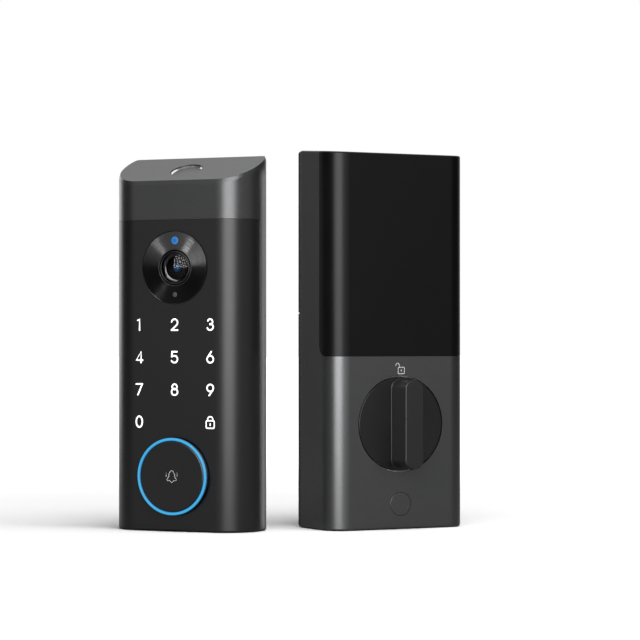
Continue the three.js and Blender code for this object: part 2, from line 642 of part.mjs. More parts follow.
function thumbTurn() {
  const dialBack = -INNER_DEPTH + DIAL_THICKNESS;
  const dial = turned([
    [0, -INNER_DEPTH], [DIAL_RADIUS, -INNER_DEPTH], [DIAL_RADIUS, dialBack], [8, dialBack],
    [8, -28], [0, -28],
  ], 40);
  const half = GRIP.width / 2;
  const outline = roundedRectangle(-half, half, -GRIP.length / 2, GRIP.length / 2, GRIP.corner);
  const grip = sunk(outline, -INNER_DEPTH - GRIP.proud, -INNER_DEPTH - GAP, 8);
  const socket = box(-4.1, 4.1, -18.5, 0, -2.5, 2.5);
  const hub = cut(barY(HUB_RADIUS, -27.7, -4.5, 0, 0, 28), socket);
  const gearBore = barY(HUB_RADIUS + GAP, -30, -20, 0, 0, 28);
  const gear = cut(spurGear(OUTPUT_GEAR, IDLER_DIRECTION, -26, -21), gearBore);
  return group(
    0, 0, TURN_Z,
    piece("thumb_turn_dial", dial, BRUSHED_DARK),
    piece("thumb_turn_grip", grip, BRUSHED_DARK),
    piece("drive_hub", hub, STEEL),
    piece("output_gear", gear, NYLON),
    piece("hub_washer", ringY(HUB_RADIUS + GAP, 10, -20.7, -19.7, 28), STEEL),
    piece("dial_bush", ringY(19, 24.5, dialBack + GAP, dialBack + 2.2, 40), NYLON),
  );
}

function pitchRadius({ teeth, module }) {
  return (teeth * module) / 2;
}

// the place of a gear's axis, `reach` away from another axis in a given direction
function axisPlace(fromX, fromZ, reach, direction) {
  return [fromX + reach * Math.cos(direction), fromZ + reach * Math.sin(direction)];
}

function driveTrain() {
  const firstReach = pitchRadius(OUTPUT_GEAR) + pitchRadius(IDLER_SMALL);
  const secondReach = pitchRadius(IDLER_LARGE) + pitchRadius(PINION);
  const [idlerX, idlerZ] = axisPlace(0, TURN_Z, firstReach, IDLER_DIRECTION);
  const [motorX, motorZ] = axisPlace(idlerX, idlerZ, secondReach, PINION_DIRECTION);
  const facingOutput = IDLER_DIRECTION + Math.PI + Math.PI / IDLER_SMALL.teeth;
  const facingIdler = PINION_DIRECTION + Math.PI + Math.PI / PINION.teeth;
  const idlerSmall = spurGear(IDLER_SMALL, facingOutput, -26, -20);
  const idlerLarge = spurGear(IDLER_LARGE, PINION_DIRECTION, -20.5, -17);
  const idler = cut(join(idlerSmall, idlerLarge), barY(1.8, -30, -10, 0, 0, 16));
  const pinion = join(spurGear(PINION, facingIdler, -20.5, -17), barY(0.8, -17.5, -12.3, 0, 0, 10));
  const motor = cut(barY(6, -16.4, -4.7), barY(1.1, -17, -12, 0, 0, 10));
  const chassis = cut(
    box(-12, 34, -4.4, -3, 36, 78),
    barY(HUB_RADIUS + 1, -6, 0, 0, TURN_Z),
    barY(5.5, -6, 0, POST_SPACING, TURN_Z),
  );
  return [
    piece("idler_gear", idler, NYLON, idlerX, 0, idlerZ),
    piece("idler_pin", barY(1.5, -28, -4.7, 0, 0, 16), STEEL, idlerX, 0, idlerZ),
    piece("motor_pinion", pinion, BRASS, motorX, 0, motorZ),
    piece("drive_motor", motor, STEEL, motorX, 0, motorZ),
    piece("gear_chassis", chassis, STEEL),
  ];
}

// a flush button with a flange that keeps it behind the wall, and its switch; travel 0.6 mm
function setupButton() {
  const { radius, z } = SETUP_BUTTON;
  const button = turned([
    [0, 0], [radius, 0], [radius, 2.8], [7, 2.8], [7, 3.5], [2, 3.5], [2, 4.3], [0, 4.3],
  ], 28);
  const body = join(barY(1.4, 5, 5.6, 0, 0, 12), box(-3, 3, 5.4, 6.3, -3, 3));
  return group(
    0, -INNER_DEPTH, z,
    piece("setup_button", button, GUNMETAL),
    piece("setup_switch", body, BLACK_PLASTIC),
  );
}

function innerHalf() {
  const battery = roundedRectangle(-30, 30, -INNER_DEPTH + 3.5, BAY.floor - 2.8, 3);
  const contacts = box(-6, 6, -16, -11, 80, 89.4);
  const boardFront = -INNER_DEPTH + 6.6;
  const board = join(
    box(-31, 31, boardFront, boardFront + 1.6, 7, 25),
    box(14, 26, boardFront + 1.4, boardFront + 4.4, 10, 20),
  );
  const bayScrews = [["housing_screw_left", -1], ["housing_screw_right", 1]].map(([name, side]) => (
    piece(name, panScrew(-1.6, 5), STEEL, side * BAY_SCREW.x, BAY.floor - GAP, BAY_SCREW.z)
  ));
  const footScrew = panScrew(-1.1, 4.8).rotateX(Math.PI / 2);
  const cableGrommet = grommet(-PLATE_THICKNESS, 0);
  return group(
    0, 0, 0,
    piece("interior_housing", innerHousing(), GUNMETAL),
    piece("battery_cover", batteryCover(), COVER_BLACK),
    piece("battery_pack", raised(battery, 90, 171, 4), BATTERY_BLUE),
    piece("battery_contacts", contacts, BRASS),
    piece("mounting_plate", mountingPlate(), DARK_STEEL),
    thumbTurn(),
    ...driveTrain(),
    setupButton(),
    piece("interior_board", board, GREEN_BOARD),
    piece("interior_cable_grommet", cableGrommet, RUBBER, 0, 0, TURN_Z - CABLE_DROP),
    ...bayScrews,
    piece("housing_screw_bottom", footScrew, STEEL, 0, FOOT_SCREW_Y, 1.5),
  );
}

// ---------- the two halves side by side, with the middle of their footprint at the origin

const outer = outerHalf();
const inner = innerHalf();
outer.rotation.z = -SPLAY;
inner.rotation.z = SPLAY;
inner.position.set(INNER_OFFSET.x, INNER_OFFSET.y, 0);

const lock = new THREE.Group();
lock.add(outer, inner);
lock.updateMatrixWorld(true);
const footprint = new THREE.Box3().setFromObject(lock, true).getCenter(new THREE.Vector3());
lock.position.set(-footprint.x, -footprint.y, 0);

export default lock;
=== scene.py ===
# A keypad smart lock for a door, in two halves that stand side by side: the outer half with its
# camera, keypad, doorbell and fingerprint reader, and the inner half with its thumb turn and battery.
# Each half is modelled in millimetres in a frame of its own (door side at y = 0, front towards -Y,
# foot at z = 0), and each finished piece is then set in its place in the row's frame, in metres.

import json
import math

import bmesh
import bpy
from mathutils import Matrix, Vector

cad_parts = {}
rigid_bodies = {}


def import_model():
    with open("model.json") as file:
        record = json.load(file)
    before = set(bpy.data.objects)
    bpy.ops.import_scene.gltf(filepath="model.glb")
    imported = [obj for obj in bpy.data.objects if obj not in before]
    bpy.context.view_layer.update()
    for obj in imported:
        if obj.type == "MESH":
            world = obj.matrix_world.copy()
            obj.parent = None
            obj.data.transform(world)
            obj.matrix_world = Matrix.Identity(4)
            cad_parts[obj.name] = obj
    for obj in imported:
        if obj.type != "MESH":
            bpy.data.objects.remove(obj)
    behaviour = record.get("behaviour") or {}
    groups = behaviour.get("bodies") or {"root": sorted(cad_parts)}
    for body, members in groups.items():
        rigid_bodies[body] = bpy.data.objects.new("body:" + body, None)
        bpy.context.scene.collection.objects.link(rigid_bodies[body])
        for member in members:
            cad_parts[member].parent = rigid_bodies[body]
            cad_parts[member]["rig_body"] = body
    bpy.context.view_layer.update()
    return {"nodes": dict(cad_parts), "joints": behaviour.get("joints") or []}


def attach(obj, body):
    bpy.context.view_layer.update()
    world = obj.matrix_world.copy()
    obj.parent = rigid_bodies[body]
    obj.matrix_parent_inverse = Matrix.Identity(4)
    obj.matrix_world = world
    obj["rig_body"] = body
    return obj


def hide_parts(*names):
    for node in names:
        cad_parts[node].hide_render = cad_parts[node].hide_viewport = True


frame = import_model()

# ---------- camera
# A long lens on a level camera at the height of the lock's middle, a little to the left of it. The
# picture is shifted, and the camera isn't tilted, so that upright edges stay upright.

MM = 0.001
joints = {joint["name"]: joint for joint in frame["joints"]}
key_axis = Vector(joints["key_turn"]["pos_m"])
camera_aside = 25.66 * MM
camera_distance = 1230.86 * MM
camera_height = 89.8 * MM
camera_turn = -1.675
camera_data = bpy.data.cameras.new("camera")
camera_data.sensor_width = 36
camera_data.lens = 146.25
camera_data.shift_y = 0.03
camera = bpy.data.objects.new("camera", camera_data)
camera.location = (key_axis.x + camera_aside, key_axis.y - camera_distance, camera_height)
camera.rotation_euler = (math.radians(90), 0, math.radians(camera_turn))
bpy.context.scene.collection.objects.link(camera)
bpy.context.scene.camera = camera
bpy.context.scene.view_settings.view_transform = "Standard"

# ---------- studio
# A white floor that runs into a white background. Each half has a soft box near it for the long
# highlight on its round corner, and larger, fainter ones for its flat faces. A wide box overhead
# lights the sloped tops, and another lights the floor and casts the lock's soft shadow on it.


class Wire:
    """An output of a shader node. Sums and products of wires and numbers add Math nodes."""

    def __init__(self, tree, socket=None):
        self.tree = tree
        self.socket = socket

    def node(self, kind, settings=None, inputs=None, output=0):
        """Adds a node, first with its settings and then with its inputs: numbers, colours or wires."""
        made = self.tree.nodes.new("ShaderNode" + kind)
        for name, value in (settings or {}).items():
            setattr(made, name, value)
        for key, value in (inputs or {}).items():
            if isinstance(value, Wire):
                self.tree.links.new(value.socket, made.inputs[key])
            else:
                made.inputs[key].default_value = value
        return Wire(self.tree, made.outputs[output] if len(made.outputs) else None)

    def maths(self, operation, first, second=0.0):
        return self.node("Math", {"operation": operation}, {0: first, 1: second})

    def __add__(self, other):
        return self.maths("ADD", self, other)

    def __sub__(self, other):
        return self.maths("SUBTRACT", self, other)

    def __rsub__(self, other):
        return self.maths("SUBTRACT", other, self)

    def __mul__(self, other):
        return self.maths("MULTIPLY", self, other)

    def __truediv__(self, other):
        return self.maths("DIVIDE", self, other)

    __radd__ = __add__
    __rmul__ = __mul__

    def vector(self, operation, first, second=None, output="Vector"):
        """A Vector Math node; second is a vector, or the scale where the operation is SCALE."""
        inputs = {0: first}
        if second is not None:
            inputs["Scale" if operation == "SCALE" else 1] = second
        return self.node("VectorMath", {"operation": operation}, inputs, output)

    def ramp(self, start, end):
        """0 up to start, 1 from end on, and smooth between them."""
        settings = {"interpolation_type": "SMOOTHSTEP"}
        return self.node("MapRange", settings, {"Value": self, "From Min": start, "From Max": end})

    def between(self, first, second):
        """The colour on the way from first to second, with this wire as the factor."""
        colours = {"Factor": self, 6: (*first, 1), 7: (*second, 1)}
        return self.node("Mix", {"data_type": "RGBA"}, colours, 2)

    def place(self):
        """Where the point that is shaded lies, in metres."""
        return self.node("TexCoord", {}, {}, "Object")

    def noise(self, scale, detail):
        """Noise of this scale, from 0 to 1."""
        return self.node("TexNoise", {}, {"Vector": self.place(), "Scale": scale, "Detail": detail})

    def noise_along(self, line, detail):
        """Noise that changes only along a wire, once for each unit of it."""
        settings = {"noise_dimensions": "1D"}
        return self.node("TexNoise", settings, {"W": line, "Scale": 1.0, "Detail": detail})

    def relief(self, strength, depth, height):
        """A normal that follows this height, with a depth in metres."""
        return self.node("Bump", {}, {"Strength": strength, "Distance": depth, "Height": height})

    def surface(self, colour, roughness, others=None):
        """The main shader; a colour that doesn't vary is given as three numbers."""
        colour = colour if isinstance(colour, Wire) else (*colour, 1)
        inputs = {"Base Color": colour, "Roughness": roughness, **(others or {})}
        return self.node("BsdfPrincipled", {}, inputs)


def finish(recipe):
    """Turns a recipe, a function of an empty wire that gives a surface, into the material it is for."""
    material = bpy.data.materials.new(recipe.__name__)
    material.use_nodes = True
    material.node_tree.nodes.clear()
    start = Wire(material.node_tree)
    start.node("OutputMaterial", {}, {"Surface": recipe(start)})
    return material


WHITE = (1, 1, 1, 1)


def ray(start, kind):
    """1 for this kind of ray, and 0 for the others."""
    return start.node("LightPath", {}, {}, "Is " + kind + " Ray")


def surround(start):
    """White to the eye. Reflections see white behind the lock, a pale ceiling and dark sides."""
    direction = start.node("TexCoord", {}, {}, "Generated")
    aim = start.vector("DOT_PRODUCT", direction, (0, 1, 0), "Value")
    rise = start.vector("DOT_PRODUCT", direction, (0, 0, 1), "Value")
    mirrored = 0.02 + aim.ramp(0.5, 1.0) * 0.95 + rise.ramp(0.3, 0.9) * 0.25
    ambient = 0.4
    glossy = ray(start, "Glossy")
    in_glass = ray(start, "Transmission")
    shown = start.maths("MAXIMUM", ray(start, "Camera"), in_glass * aim.ramp(0, 0.3))
    hidden = glossy * mirrored + (1 - glossy) * ((1 - in_glass) * ambient)
    strength = start.maths("MAXIMUM", shown, hidden)
    return start.node("Background", {}, {"Color": WHITE, "Strength": strength})


world = bpy.data.worlds.new("studio")
bpy.context.scene.world = world
world.use_nodes = True
world.node_tree.nodes.clear()
world_wire = Wire(world.node_tree)
world_wire.node("OutputWorld", {}, {"Surface": surround(world_wire)})


def soft_box(name, azimuth, distance, height, width, tall, brightness, target=(0, 0, 0.09)):
    """An area lamp that faces the lock; azimuths are in degrees to the right of the camera's side."""
    lamp = bpy.data.lights.new(name, "AREA")
    lamp.shape = "RECTANGLE"
    lamp.size = width
    lamp.size_y = tall
    lamp.energy = brightness * math.pi * width * tall
    box = bpy.data.objects.new(name, lamp)
    angle = math.radians(azimuth)
    target = Vector(target)
    box.location = (target.x + distance * math.sin(angle), target.y - distance * math.cos(angle), height)
    box.rotation_euler = (target - box.location).to_track_quat("-Z", "Y").to_euler()
    box.visible_camera = False
    bpy.context.scene.collection.objects.link(box)
    return box


outer_boxes = [
    soft_box("outer_box", 1, 0.5, 0.28, 0.39, 0.6, 4.2),
    soft_box("outer_glow", -2, 1.1, 0.36, 1.5, 0.8, 0.4),
    soft_box("outer_front", -52, 1.1, 0.5, 0.76, 1.1, 0.34),
    soft_box("outer_fill", 62, 1.1, 0.36, 0.9, 0.76, 0.32),
    soft_box("outer_rim", -140, 1.1, 0.36, 0.6, 0.76, 1.4),
]
inner_boxes = [
    soft_box("inner_box", -11, 0.5, 0.21, 0.38, 0.6, 6.3),
    soft_box("inner_glow", 10, 1.1, 0.36, 1.2, 0.8, 1.35),
    soft_box("inner_front_box", 52, 1.1, 0.54, 0.8, 1.1, 0.5),
]
overhead_box = soft_box("overhead_box", 180, 0.25, 1.1, 1.4, 1.0, 1.25)
floor_box = soft_box("floor_box", 30, 0.4, 1.0, 0.7, 0.6, 9.6)


@finish
def floor_white(start):
    """A matt white floor that keeps the shadow, and that reaches the background's white far off."""
    far_off = start.vector("LENGTH", start.place(), output="Value").ramp(0.12, 0.9)
    seen = start.maths("MAXIMUM", ray(start, "Camera"), ray(start, "Transmission"))
    glow = start.node("Emission", {}, {"Color": WHITE, "Strength": far_off * seen})
    white = seen.between((0.22, 0.22, 0.22), (0.82, 0.82, 0.82))
    matt = start.node("BsdfDiffuse", {}, {"Color": white})
    return start.node("AddShader", {}, {0: matt, 1: glow})


floor_size = 24
floor_drop = 0.2 * MM
bpy.ops.object.select_all(action="DESELECT")
bpy.ops.mesh.primitive_plane_add(size=floor_size, location=(0, 0, -floor_drop))
floor = bpy.context.object
floor.name = "floor"
floor.data.materials.append(floor_white)

# ---------- exterior housing
# The gun-metal shell of the outer half: a die casting with a flat front, deep round corners and a
# sloped top, bead blasted and painted. The fascia sits in a step round its front and sides.


def half_frame(axis, pivot, own_pivot):
    """The frame of a half whose own +Y is axis, and whose own_pivot, in millimetres, is at pivot."""
    turn = Matrix.Rotation(math.atan2(-axis[0], axis[1]), 4, "Z")
    return Matrix.Translation(pivot) @ turn @ Matrix.Scale(MM, 4) @ Matrix.Translation(-Vector(own_pivot))


def moved(place, x, y, z):
    """A place moved by this much along its own axes."""
    return place @ Matrix.Translation((x, y, z))


key_y = -12.5
outer = half_frame(joints["doorbell_press"]["axis"], joints["key_turn"]["pos_m"], (0, key_y, 20))


def span(node, half):
    """A CAD node's lowest and highest corner in its half's own frame, in millimetres."""
    into = half.inverted()
    points = [into @ vertex.co for vertex in frame["nodes"][node].data.vertices]
    low = Vector(min(point[axis] for point in points) for axis in range(3))
    high = Vector(max(point[axis] for point in points) for axis in range(3))
    return low, high


def alone(piece):
    """Selects this piece and nothing else."""
    bpy.ops.object.select_all(action="DESELECT")
    piece.select_set(True)
    bpy.context.view_layer.objects.active = piece


def open_up(piece):
    """Edit mode on this piece, with all of it selected."""
    alone(piece)
    bpy.ops.object.mode_set(mode="EDIT")
    bpy.ops.mesh.select_mode(type="VERT")
    bpy.ops.mesh.select_all(action="SELECT")


def close_up():
    bpy.ops.object.mode_set(mode="OBJECT")


def pick(kind, test):
    """In edit mode, selects only the faces, edges or vertices that pass a test."""
    bpy.ops.mesh.select_mode(type=kind)
    bpy.ops.mesh.select_all(action="DESELECT")
    mesh = bpy.context.edit_object.data
    shape = bmesh.from_edit_mesh(mesh)
    for part in {"FACE": shape.faces, "EDGE": shape.edges, "VERT": shape.verts}[kind]:
        if test(part):
            part.select_set(True)
    shape.select_flush_mode()
    bmesh.update_edit_mesh(mesh)


def bevel_edges(test, width, segments):
    """In edit mode, rounds the edges that pass a test."""
    pick("EDGE", test)
    bpy.ops.mesh.bevel(offset=width, segments=segments, affect="EDGES")


def round_edges(piece, test, width, segments):
    """Rounds the edges of a piece that pass a test."""
    open_up(piece)
    bevel_edges(test, width, segments)
    close_up()


def lies_at(part, **levels):
    """True for an edge or a face that lies wholly at these levels, such as y=0."""
    for axis, level in levels.items():
        if any(abs(getattr(vertex.co, axis) - level) > 0.01 for vertex in part.verts):
            return False
    return True


def runs_along(edge, axis):
    """True for an edge along x, y or z."""
    run = edge.verts[1].co - edge.verts[0].co
    return abs(getattr(run, axis)) > 0.99 * run.length


def upright_at(edge, level):
    """True for an upright edge at this y."""
    return runs_along(edge, "z") and lies_at(edge, y=level)


def primitive(name, add, **settings):
    """A new primitive, with its place in its mesh."""
    bpy.ops.object.select_all(action="DESELECT")
    add(**settings)
    bpy.ops.object.transform_apply(location=True, rotation=True, scale=True)
    bpy.context.object.name = name
    return bpy.context.object


def block(name, low, high):
    """A block between two corners."""
    middle = (Vector(low) + Vector(high)) / 2
    size = Vector(high) - Vector(low)
    return primitive(name, bpy.ops.mesh.primitive_cube_add, size=1, location=middle, scale=size)


def bar(name, radius, start, end, sides=48):
    """A round bar between two points of a line along Y or Z."""
    start, end = Vector(start), Vector(end)
    turn = (0, 0, 0) if start.y == end.y else (math.pi / 2, 0, 0)
    return primitive(
        name, bpy.ops.mesh.primitive_cylinder_add, vertices=sides, radius=radius, depth=(end - start).length,
        location=(start + end) / 2, rotation=turn,
    )


def stretch(along_y):
    """In edit mode, stretches all of a piece along Y."""
    bpy.ops.mesh.select_all(action="SELECT")
    bpy.ops.transform.resize(value=(1, along_y, 1), center_override=(0, 0, 0))


def round_upright_edges(front, across, deep, segments):
    """In edit mode, rounds the upright edges at y = front to a quarter of an ellipse."""
    stretch(across / deep)
    level = front * across / deep
    bevel_edges(lambda edge: upright_at(edge, level), across, segments)
    stretch(deep / across)


def carve(piece, *tools, operation="DIFFERENCE"):
    """Cuts the tools out of a piece, or joins them to it, and takes the tools away."""
    for tool in tools:
        cutter = piece.modifiers.new("cutter", "BOOLEAN")
        cutter.operation = operation
        cutter.solver = "EXACT"
        cutter.object = tool
        alone(piece)
        bpy.ops.object.modifier_apply(modifier=cutter.name)
        bpy.data.objects.remove(tool)


def soften(piece, width=0, sharp=35):
    """Breaks the edges sharper than an angle by a small round, and shades flat faces flat."""
    alone(piece)
    if width:
        edge_break = piece.modifiers.new("edge_break", "BEVEL")
        edge_break.width = width
        edge_break.segments = 2
        edge_break.limit_method = "ANGLE"
        edge_break.angle_limit = math.radians(sharp)
        bpy.ops.object.modifier_apply(modifier=edge_break.name)
    bpy.ops.object.shade_smooth_by_angle(angle=math.radians(32))
    flats = piece.modifiers.new("flats", "WEIGHTED_NORMAL")
    flats.keep_sharp = True
    bpy.ops.object.modifier_apply(modifier=flats.name)


def settle(piece, place, material, body, node=None):
    """Gives a piece its finish, its place and the body it rides on, and hides the CAD node it stands for."""
    piece.data.materials.clear()
    piece.data.materials.append(material)
    piece.matrix_world = place
    alone(piece)
    bpy.ops.object.transform_apply(location=True, rotation=True, scale=True)
    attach(piece, body)
    if node:
        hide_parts(node)


shell_low, shell_high = span("exterior_housing", outer)
front_y = shell_low.y
side_x = shell_high.x
front_top = 164
slope = math.atan2(shell_high.z - front_top, shell_high.y - front_y)
front_flat = 21
front_corner = {"across": side_x - front_flat, "deep": 18}
back_corner = {"across": 3.2, "deep": 8.5}


def d_block(name, inset, bottom, top, back_inset=None):
    """A block with the plan of the outer half, drawn in by inset."""
    back_inset = inset if back_inset is None else back_inset
    front, back = front_y + inset, shell_high.y - back_inset
    piece = block(name, (inset - side_x, front, bottom), (side_x - inset, back, top))
    open_up(piece)
    round_upright_edges(front, front_corner["across"] - inset, front_corner["deep"] - inset, 20)
    if back_corner["across"] > inset:
        round_upright_edges(back, back_corner["across"] - inset, back_corner["deep"] - back_inset, 8)
    close_up()
    return piece


def sloped_top(angle, foot_y, foot_z):
    """The plane of a sloped top, as a point on its front edge and its normal."""
    return {"foot": Vector((0, foot_y, foot_z)), "normal": Vector((0, -math.sin(angle), math.cos(angle)))}


def cut_to_slope(piece, plane, drop=0):
    """Takes off what stands above a sloped top, lowered by drop."""
    open_up(piece)
    point = plane["foot"] - Vector((0, 0, drop))
    bpy.ops.mesh.bisect(plane_co=point, plane_no=plane["normal"], use_fill=True, clear_outer=True)
    close_up()


def on_slope(part, plane, drop=0):
    """True for an edge or a face that lies wholly in a sloped top, lowered by drop."""
    normal = plane["normal"]
    heights = [(vertex.co - plane["foot"]).dot(normal) for vertex in part.verts]
    return all(abs(height + drop * normal.z) < 0.01 for height in heights)


outer_top = sloped_top(slope, front_y, front_top)
edge_width = 0.55
edge_fall = 1.7
foot_round = 0.9
floor_thickness = 3

exterior_shell = d_block("exterior_shell", 0, 0, shell_high.z + 5)
cut_to_slope(exterior_shell, outer_top, edge_fall)
open_up(exterior_shell)
pick("FACE", lambda face: on_slope(face, outer_top, edge_fall))
bpy.ops.mesh.inset(thickness=edge_width)
bpy.ops.transform.translate(value=(0, 0, edge_fall))
bevel_edges(lambda edge: on_slope(edge, outer_top), 0.14, 2)
bevel_edges(lambda edge: on_slope(edge, outer_top, edge_fall), 0.1, 1)
bevel_edges(lambda edge: lies_at(edge, z=0), foot_round, 3)
close_up()

# The step that the fascia sits in, the hollow for the works, and the opening in the back.
fascia_high = span("front_fascia", outer)[1]
seam = 0.08
fascia_step = 2.3
shell_wall = 2
past = 40
fascia_room = block("fascia_room", (-past, -past, -5), (past, fascia_high.y + seam, fascia_high.z + seam))
carve(fascia_room, d_block("core", fascia_step, -10, fascia_high.z + 10))
cavity = d_block("cavity", fascia_step + shell_wall, floor_thickness, shell_high.z + 5, fascia_step)
cut_to_slope(cavity, outer_top, floor_thickness)
rear_half_width = 29.6
rear_top = 171
rear_opening = block("rear_opening", (-rear_half_width, -4, floor_thickness), (rear_half_width, 2, rear_top))
carve(exterior_shell, fascia_room, cavity, rear_opening)

# The holes for camera, doorbell stem, key cylinder and speaker, and the reader's pocket in the top.
camera_low, camera_high = span("camera_bezel", outer)
camera_z = (camera_low.z + camera_high.z) / 2
bell_low, bell_high = span("doorbell_light_ring", outer)
bell_z = (bell_low.z + bell_high.z) / 2
reader_y = -16
reader_z = front_top + math.tan(slope) * (reader_y - front_y)
reader_place = Matrix.Translation((0, reader_y, reader_z)) @ Matrix.Rotation(slope, 4, "X")
pocket_depth = 1.7
reader_pocket = bar("reader_pocket", 7.75, (0, 0, -pocket_depth), (0, 0, 8 - pocket_depth), 96)
reader_pocket.data.transform(reader_place)
slot_pitch = 4
slot_width = 1.4
slot_starts = [slot_pitch * i - 17 for i in range(3)]


def bore(name, radius, ends, x, z, sides=48):
    """A bar along Y that bores a hole, with the y of its two ends."""
    return bar(name, radius, (x, ends[0], z), (x, ends[1], z), sides)


front_wall = (-30, -20)
carve(
    exterior_shell,
    bore("camera_hole", 15.3, front_wall, 0, camera_z),
    bore("stem_hole", 3.4, front_wall, 0, bell_z),
    bar("cylinder_hole", 6.3, (0, key_y, -6), (0, key_y, 6)),
    reader_pocket,
    *[block("sound_slot", (-25, start, -2), (-13, start + slot_width, 5)) for start in slot_starts],
)
soften(exterior_shell, 0.08)


@finish
def gunmetal(start):
    """Gun-metal paint with a fine metallic grain and a slightly uneven sheen."""
    flake = start.noise(5200.0, 2.0)
    cloud = start.noise(45.0, 3.0)
    colour = flake.ramp(0.3, 0.7).between((0.09, 0.091, 0.092), (0.122, 0.123, 0.125))
    grain = start.relief(0.25, 0.00003, flake)
    return start.surface(colour, 0.31 + cloud * 0.06, {"Metallic": 0.9, "Normal": grain})


settle(exterior_shell, outer, gunmetal, "exterior_half", "exterior_housing")

# ---------- front fascia
# The near-black skin that wraps the front and sides of the outer half below the seam: moulded
# polycarbonate with a smooth satin face, and round holes for camera and bell.

fascia_wall = 2
fascia_skin = d_block("fascia_skin", 0, 0, fascia_high.z)
round_edges(fascia_skin, lambda edge: lies_at(edge, z=0), foot_round, 3)
carve(
    fascia_skin,
    d_block("inside", fascia_wall, -5, 150),
    block("behind", (-past, fascia_high.y, -5), (past, 5, 150)),
    bore("camera_hole", 17.2, front_wall, 0, camera_z, 96),
    bore("bell_hole", 18.4, front_wall, 0, bell_z, 96),
)
soften(fascia_skin, 0.1)


@finish
def fascia_black(start):
    """Moulded black polycarbonate: a smooth satin face with a trace of orange peel."""
    cloud = start.noise(30.0, 4.0)
    colour = cloud.between((0.0025, 0.0025, 0.0026), (0.004, 0.004, 0.0041))
    peel = start.relief(0.06, 0.00005, start.noise(420.0, 2.0))
    return start.surface(colour, 0.33 + cloud * 0.06, {"Normal": peel, "Specular IOR Level": 0.68})


settle(fascia_skin, outer, fascia_black, "exterior_half", "front_fascia")

# ---------- camera bezel
# A very shallow dish spun from dark aluminium, pressed into the fascia. The tool leaves fine rings
# in it, which draw the light out into rays that run from the middle to the rim.


def turned(name, profile, rounding=0.0, steps=96):
    """A piece turned about the Y axis from a profile of (radius, y), with its corners rounded."""
    piece = primitive(name, bpy.ops.mesh.primitive_plane_add, size=1, location=(*profile[0], 0))
    open_up(piece)
    bpy.ops.mesh.merge(type="CENTER")
    for here, there in zip(profile, profile[1:]):
        step = (there[0] - here[0], there[1] - here[1], 0)
        bpy.ops.mesh.extrude_vertices_move(TRANSFORM_OT_translate={"value": step})
    bpy.ops.mesh.select_all(action="SELECT")
    bpy.ops.mesh.remove_doubles(threshold=0.001)
    if rounding:
        pick("VERT", turns_sharply)
        bpy.ops.mesh.bevel(offset=rounding, segments=3, affect="VERTICES")
    bpy.ops.mesh.select_all(action="SELECT")
    bpy.ops.mesh.spin(steps=steps, angle=2 * math.pi, center=(0, 0, 0), axis=(0, 1, 0))
    bpy.ops.mesh.select_all(action="SELECT")
    bpy.ops.mesh.remove_doubles(threshold=0.001)
    bpy.ops.mesh.normals_make_consistent(inside=False)
    close_up()
    return piece


def turns_sharply(vertex):
    """True where two edges of a profile meet at a real corner, away from the axis."""
    if len(vertex.link_edges) != 2 or vertex.co.x < 0.01:
        return False
    ways = [edge.other_vert(vertex).co - vertex.co for edge in vertex.link_edges]
    return ways[0].angle(ways[1]) < math.radians(150)


bezel_radius = (camera_high.z - camera_low.z) / 2
mouth_radius = 8.6
bezel_rim = -0.15
bezel_mouth = 0.3
lamp_rise = 12.7
lamp_radius = 1.75
sensor_radius = 1.2
window_gap = 0.08

bezel = turned("bezel_dish", [
    (mouth_radius, bezel_mouth), (bezel_radius, bezel_rim), (bezel_radius, 1.9), (15, 1.9), (15, 3),
    (mouth_radius, 3), (mouth_radius, bezel_mouth),
], 0.12, 128)
carve(
    bezel,
    bore("lamp_hole", lamp_radius + window_gap, (-2, 5), 0, lamp_rise),
    bore("sensor_hole", sensor_radius + window_gap, (-2, 5), 0, -lamp_rise),
)
soften(bezel)

camera_place = moved(outer, 0, front_y, camera_z)


def away_from(start, place):
    """The way from the Y axis of a place straight out to the point that is shaded, in metres."""
    axis = (place.to_3x3() @ Vector((0, 1, 0))).normalized()
    away = start.vector("SUBTRACT", start.place(), place.translation)
    depth = start.vector("DOT_PRODUCT", away, axis, "Value")
    return start.vector("SUBTRACT", away, start.vector("SCALE", axis, depth))


def radius_about(start, place):
    """How far a point is from the Y axis of a place, in metres."""
    return start.vector("LENGTH", away_from(start, place), output="Value")


def spun(start, place, colour, roughness, spread, lean_out):
    """Spun metal: the normal leans to and fro along the radius, from one fine ring to the next."""
    radius = radius_about(start, place)
    ring = start.noise_along(radius / (0.04 * MM), 1.0)
    outward = start.vector("NORMALIZE", away_from(start, place))
    lean = start.vector("SCALE", outward, (ring - 0.5) * spread + lean_out)
    level_normal = start.node("NewGeometry", {}, {}, "Normal")
    normal = start.vector("NORMALIZE", start.vector("ADD", level_normal, lean))
    darker, lighter = ([part * share for part in colour] for share in (0.8, 1.2))
    shade = start.noise_along(radius * 9000.0, 3.0).between(darker, lighter)
    return start.surface(shade, roughness + ring * 0.06, {"Metallic": 1.0, "Normal": normal})


@finish
def spun_bezel(start):
    """Dark aluminium, turned bright, whose rings lean a little towards the middle."""
    return spun(start, camera_place, (0.17, 0.17, 0.172), 0.12, 0.4, -0.16)


settle(bezel, camera_place, spun_bezel, "exterior_half", "camera_bezel")

# ---------- lens barrel and lens
# A black anodised barrel with two bright turned edges, which carries a small coated front element in
# its middle, a lacquered ring that traps stray light, and a domed cover glass held by the lip.

barrel_lip = 0.4
barrel = turned("barrel_stepped", [
    (0, 3.1), (1.95, 3.1), (1.95, 2.85), (3.2, 2.85), (3.2, 3.4), (4.4, 3.6), (4.4, 4.0), (6.3, 4.2),
    (6.3, 3.1), (7.5, 3.1), (7.5, barrel_lip + 0.02), (8.52, barrel_lip + 0.02), (8.52, 10), (7, 10), (7, 14),
    (0, 14),
], 0.1)
soften(barrel)


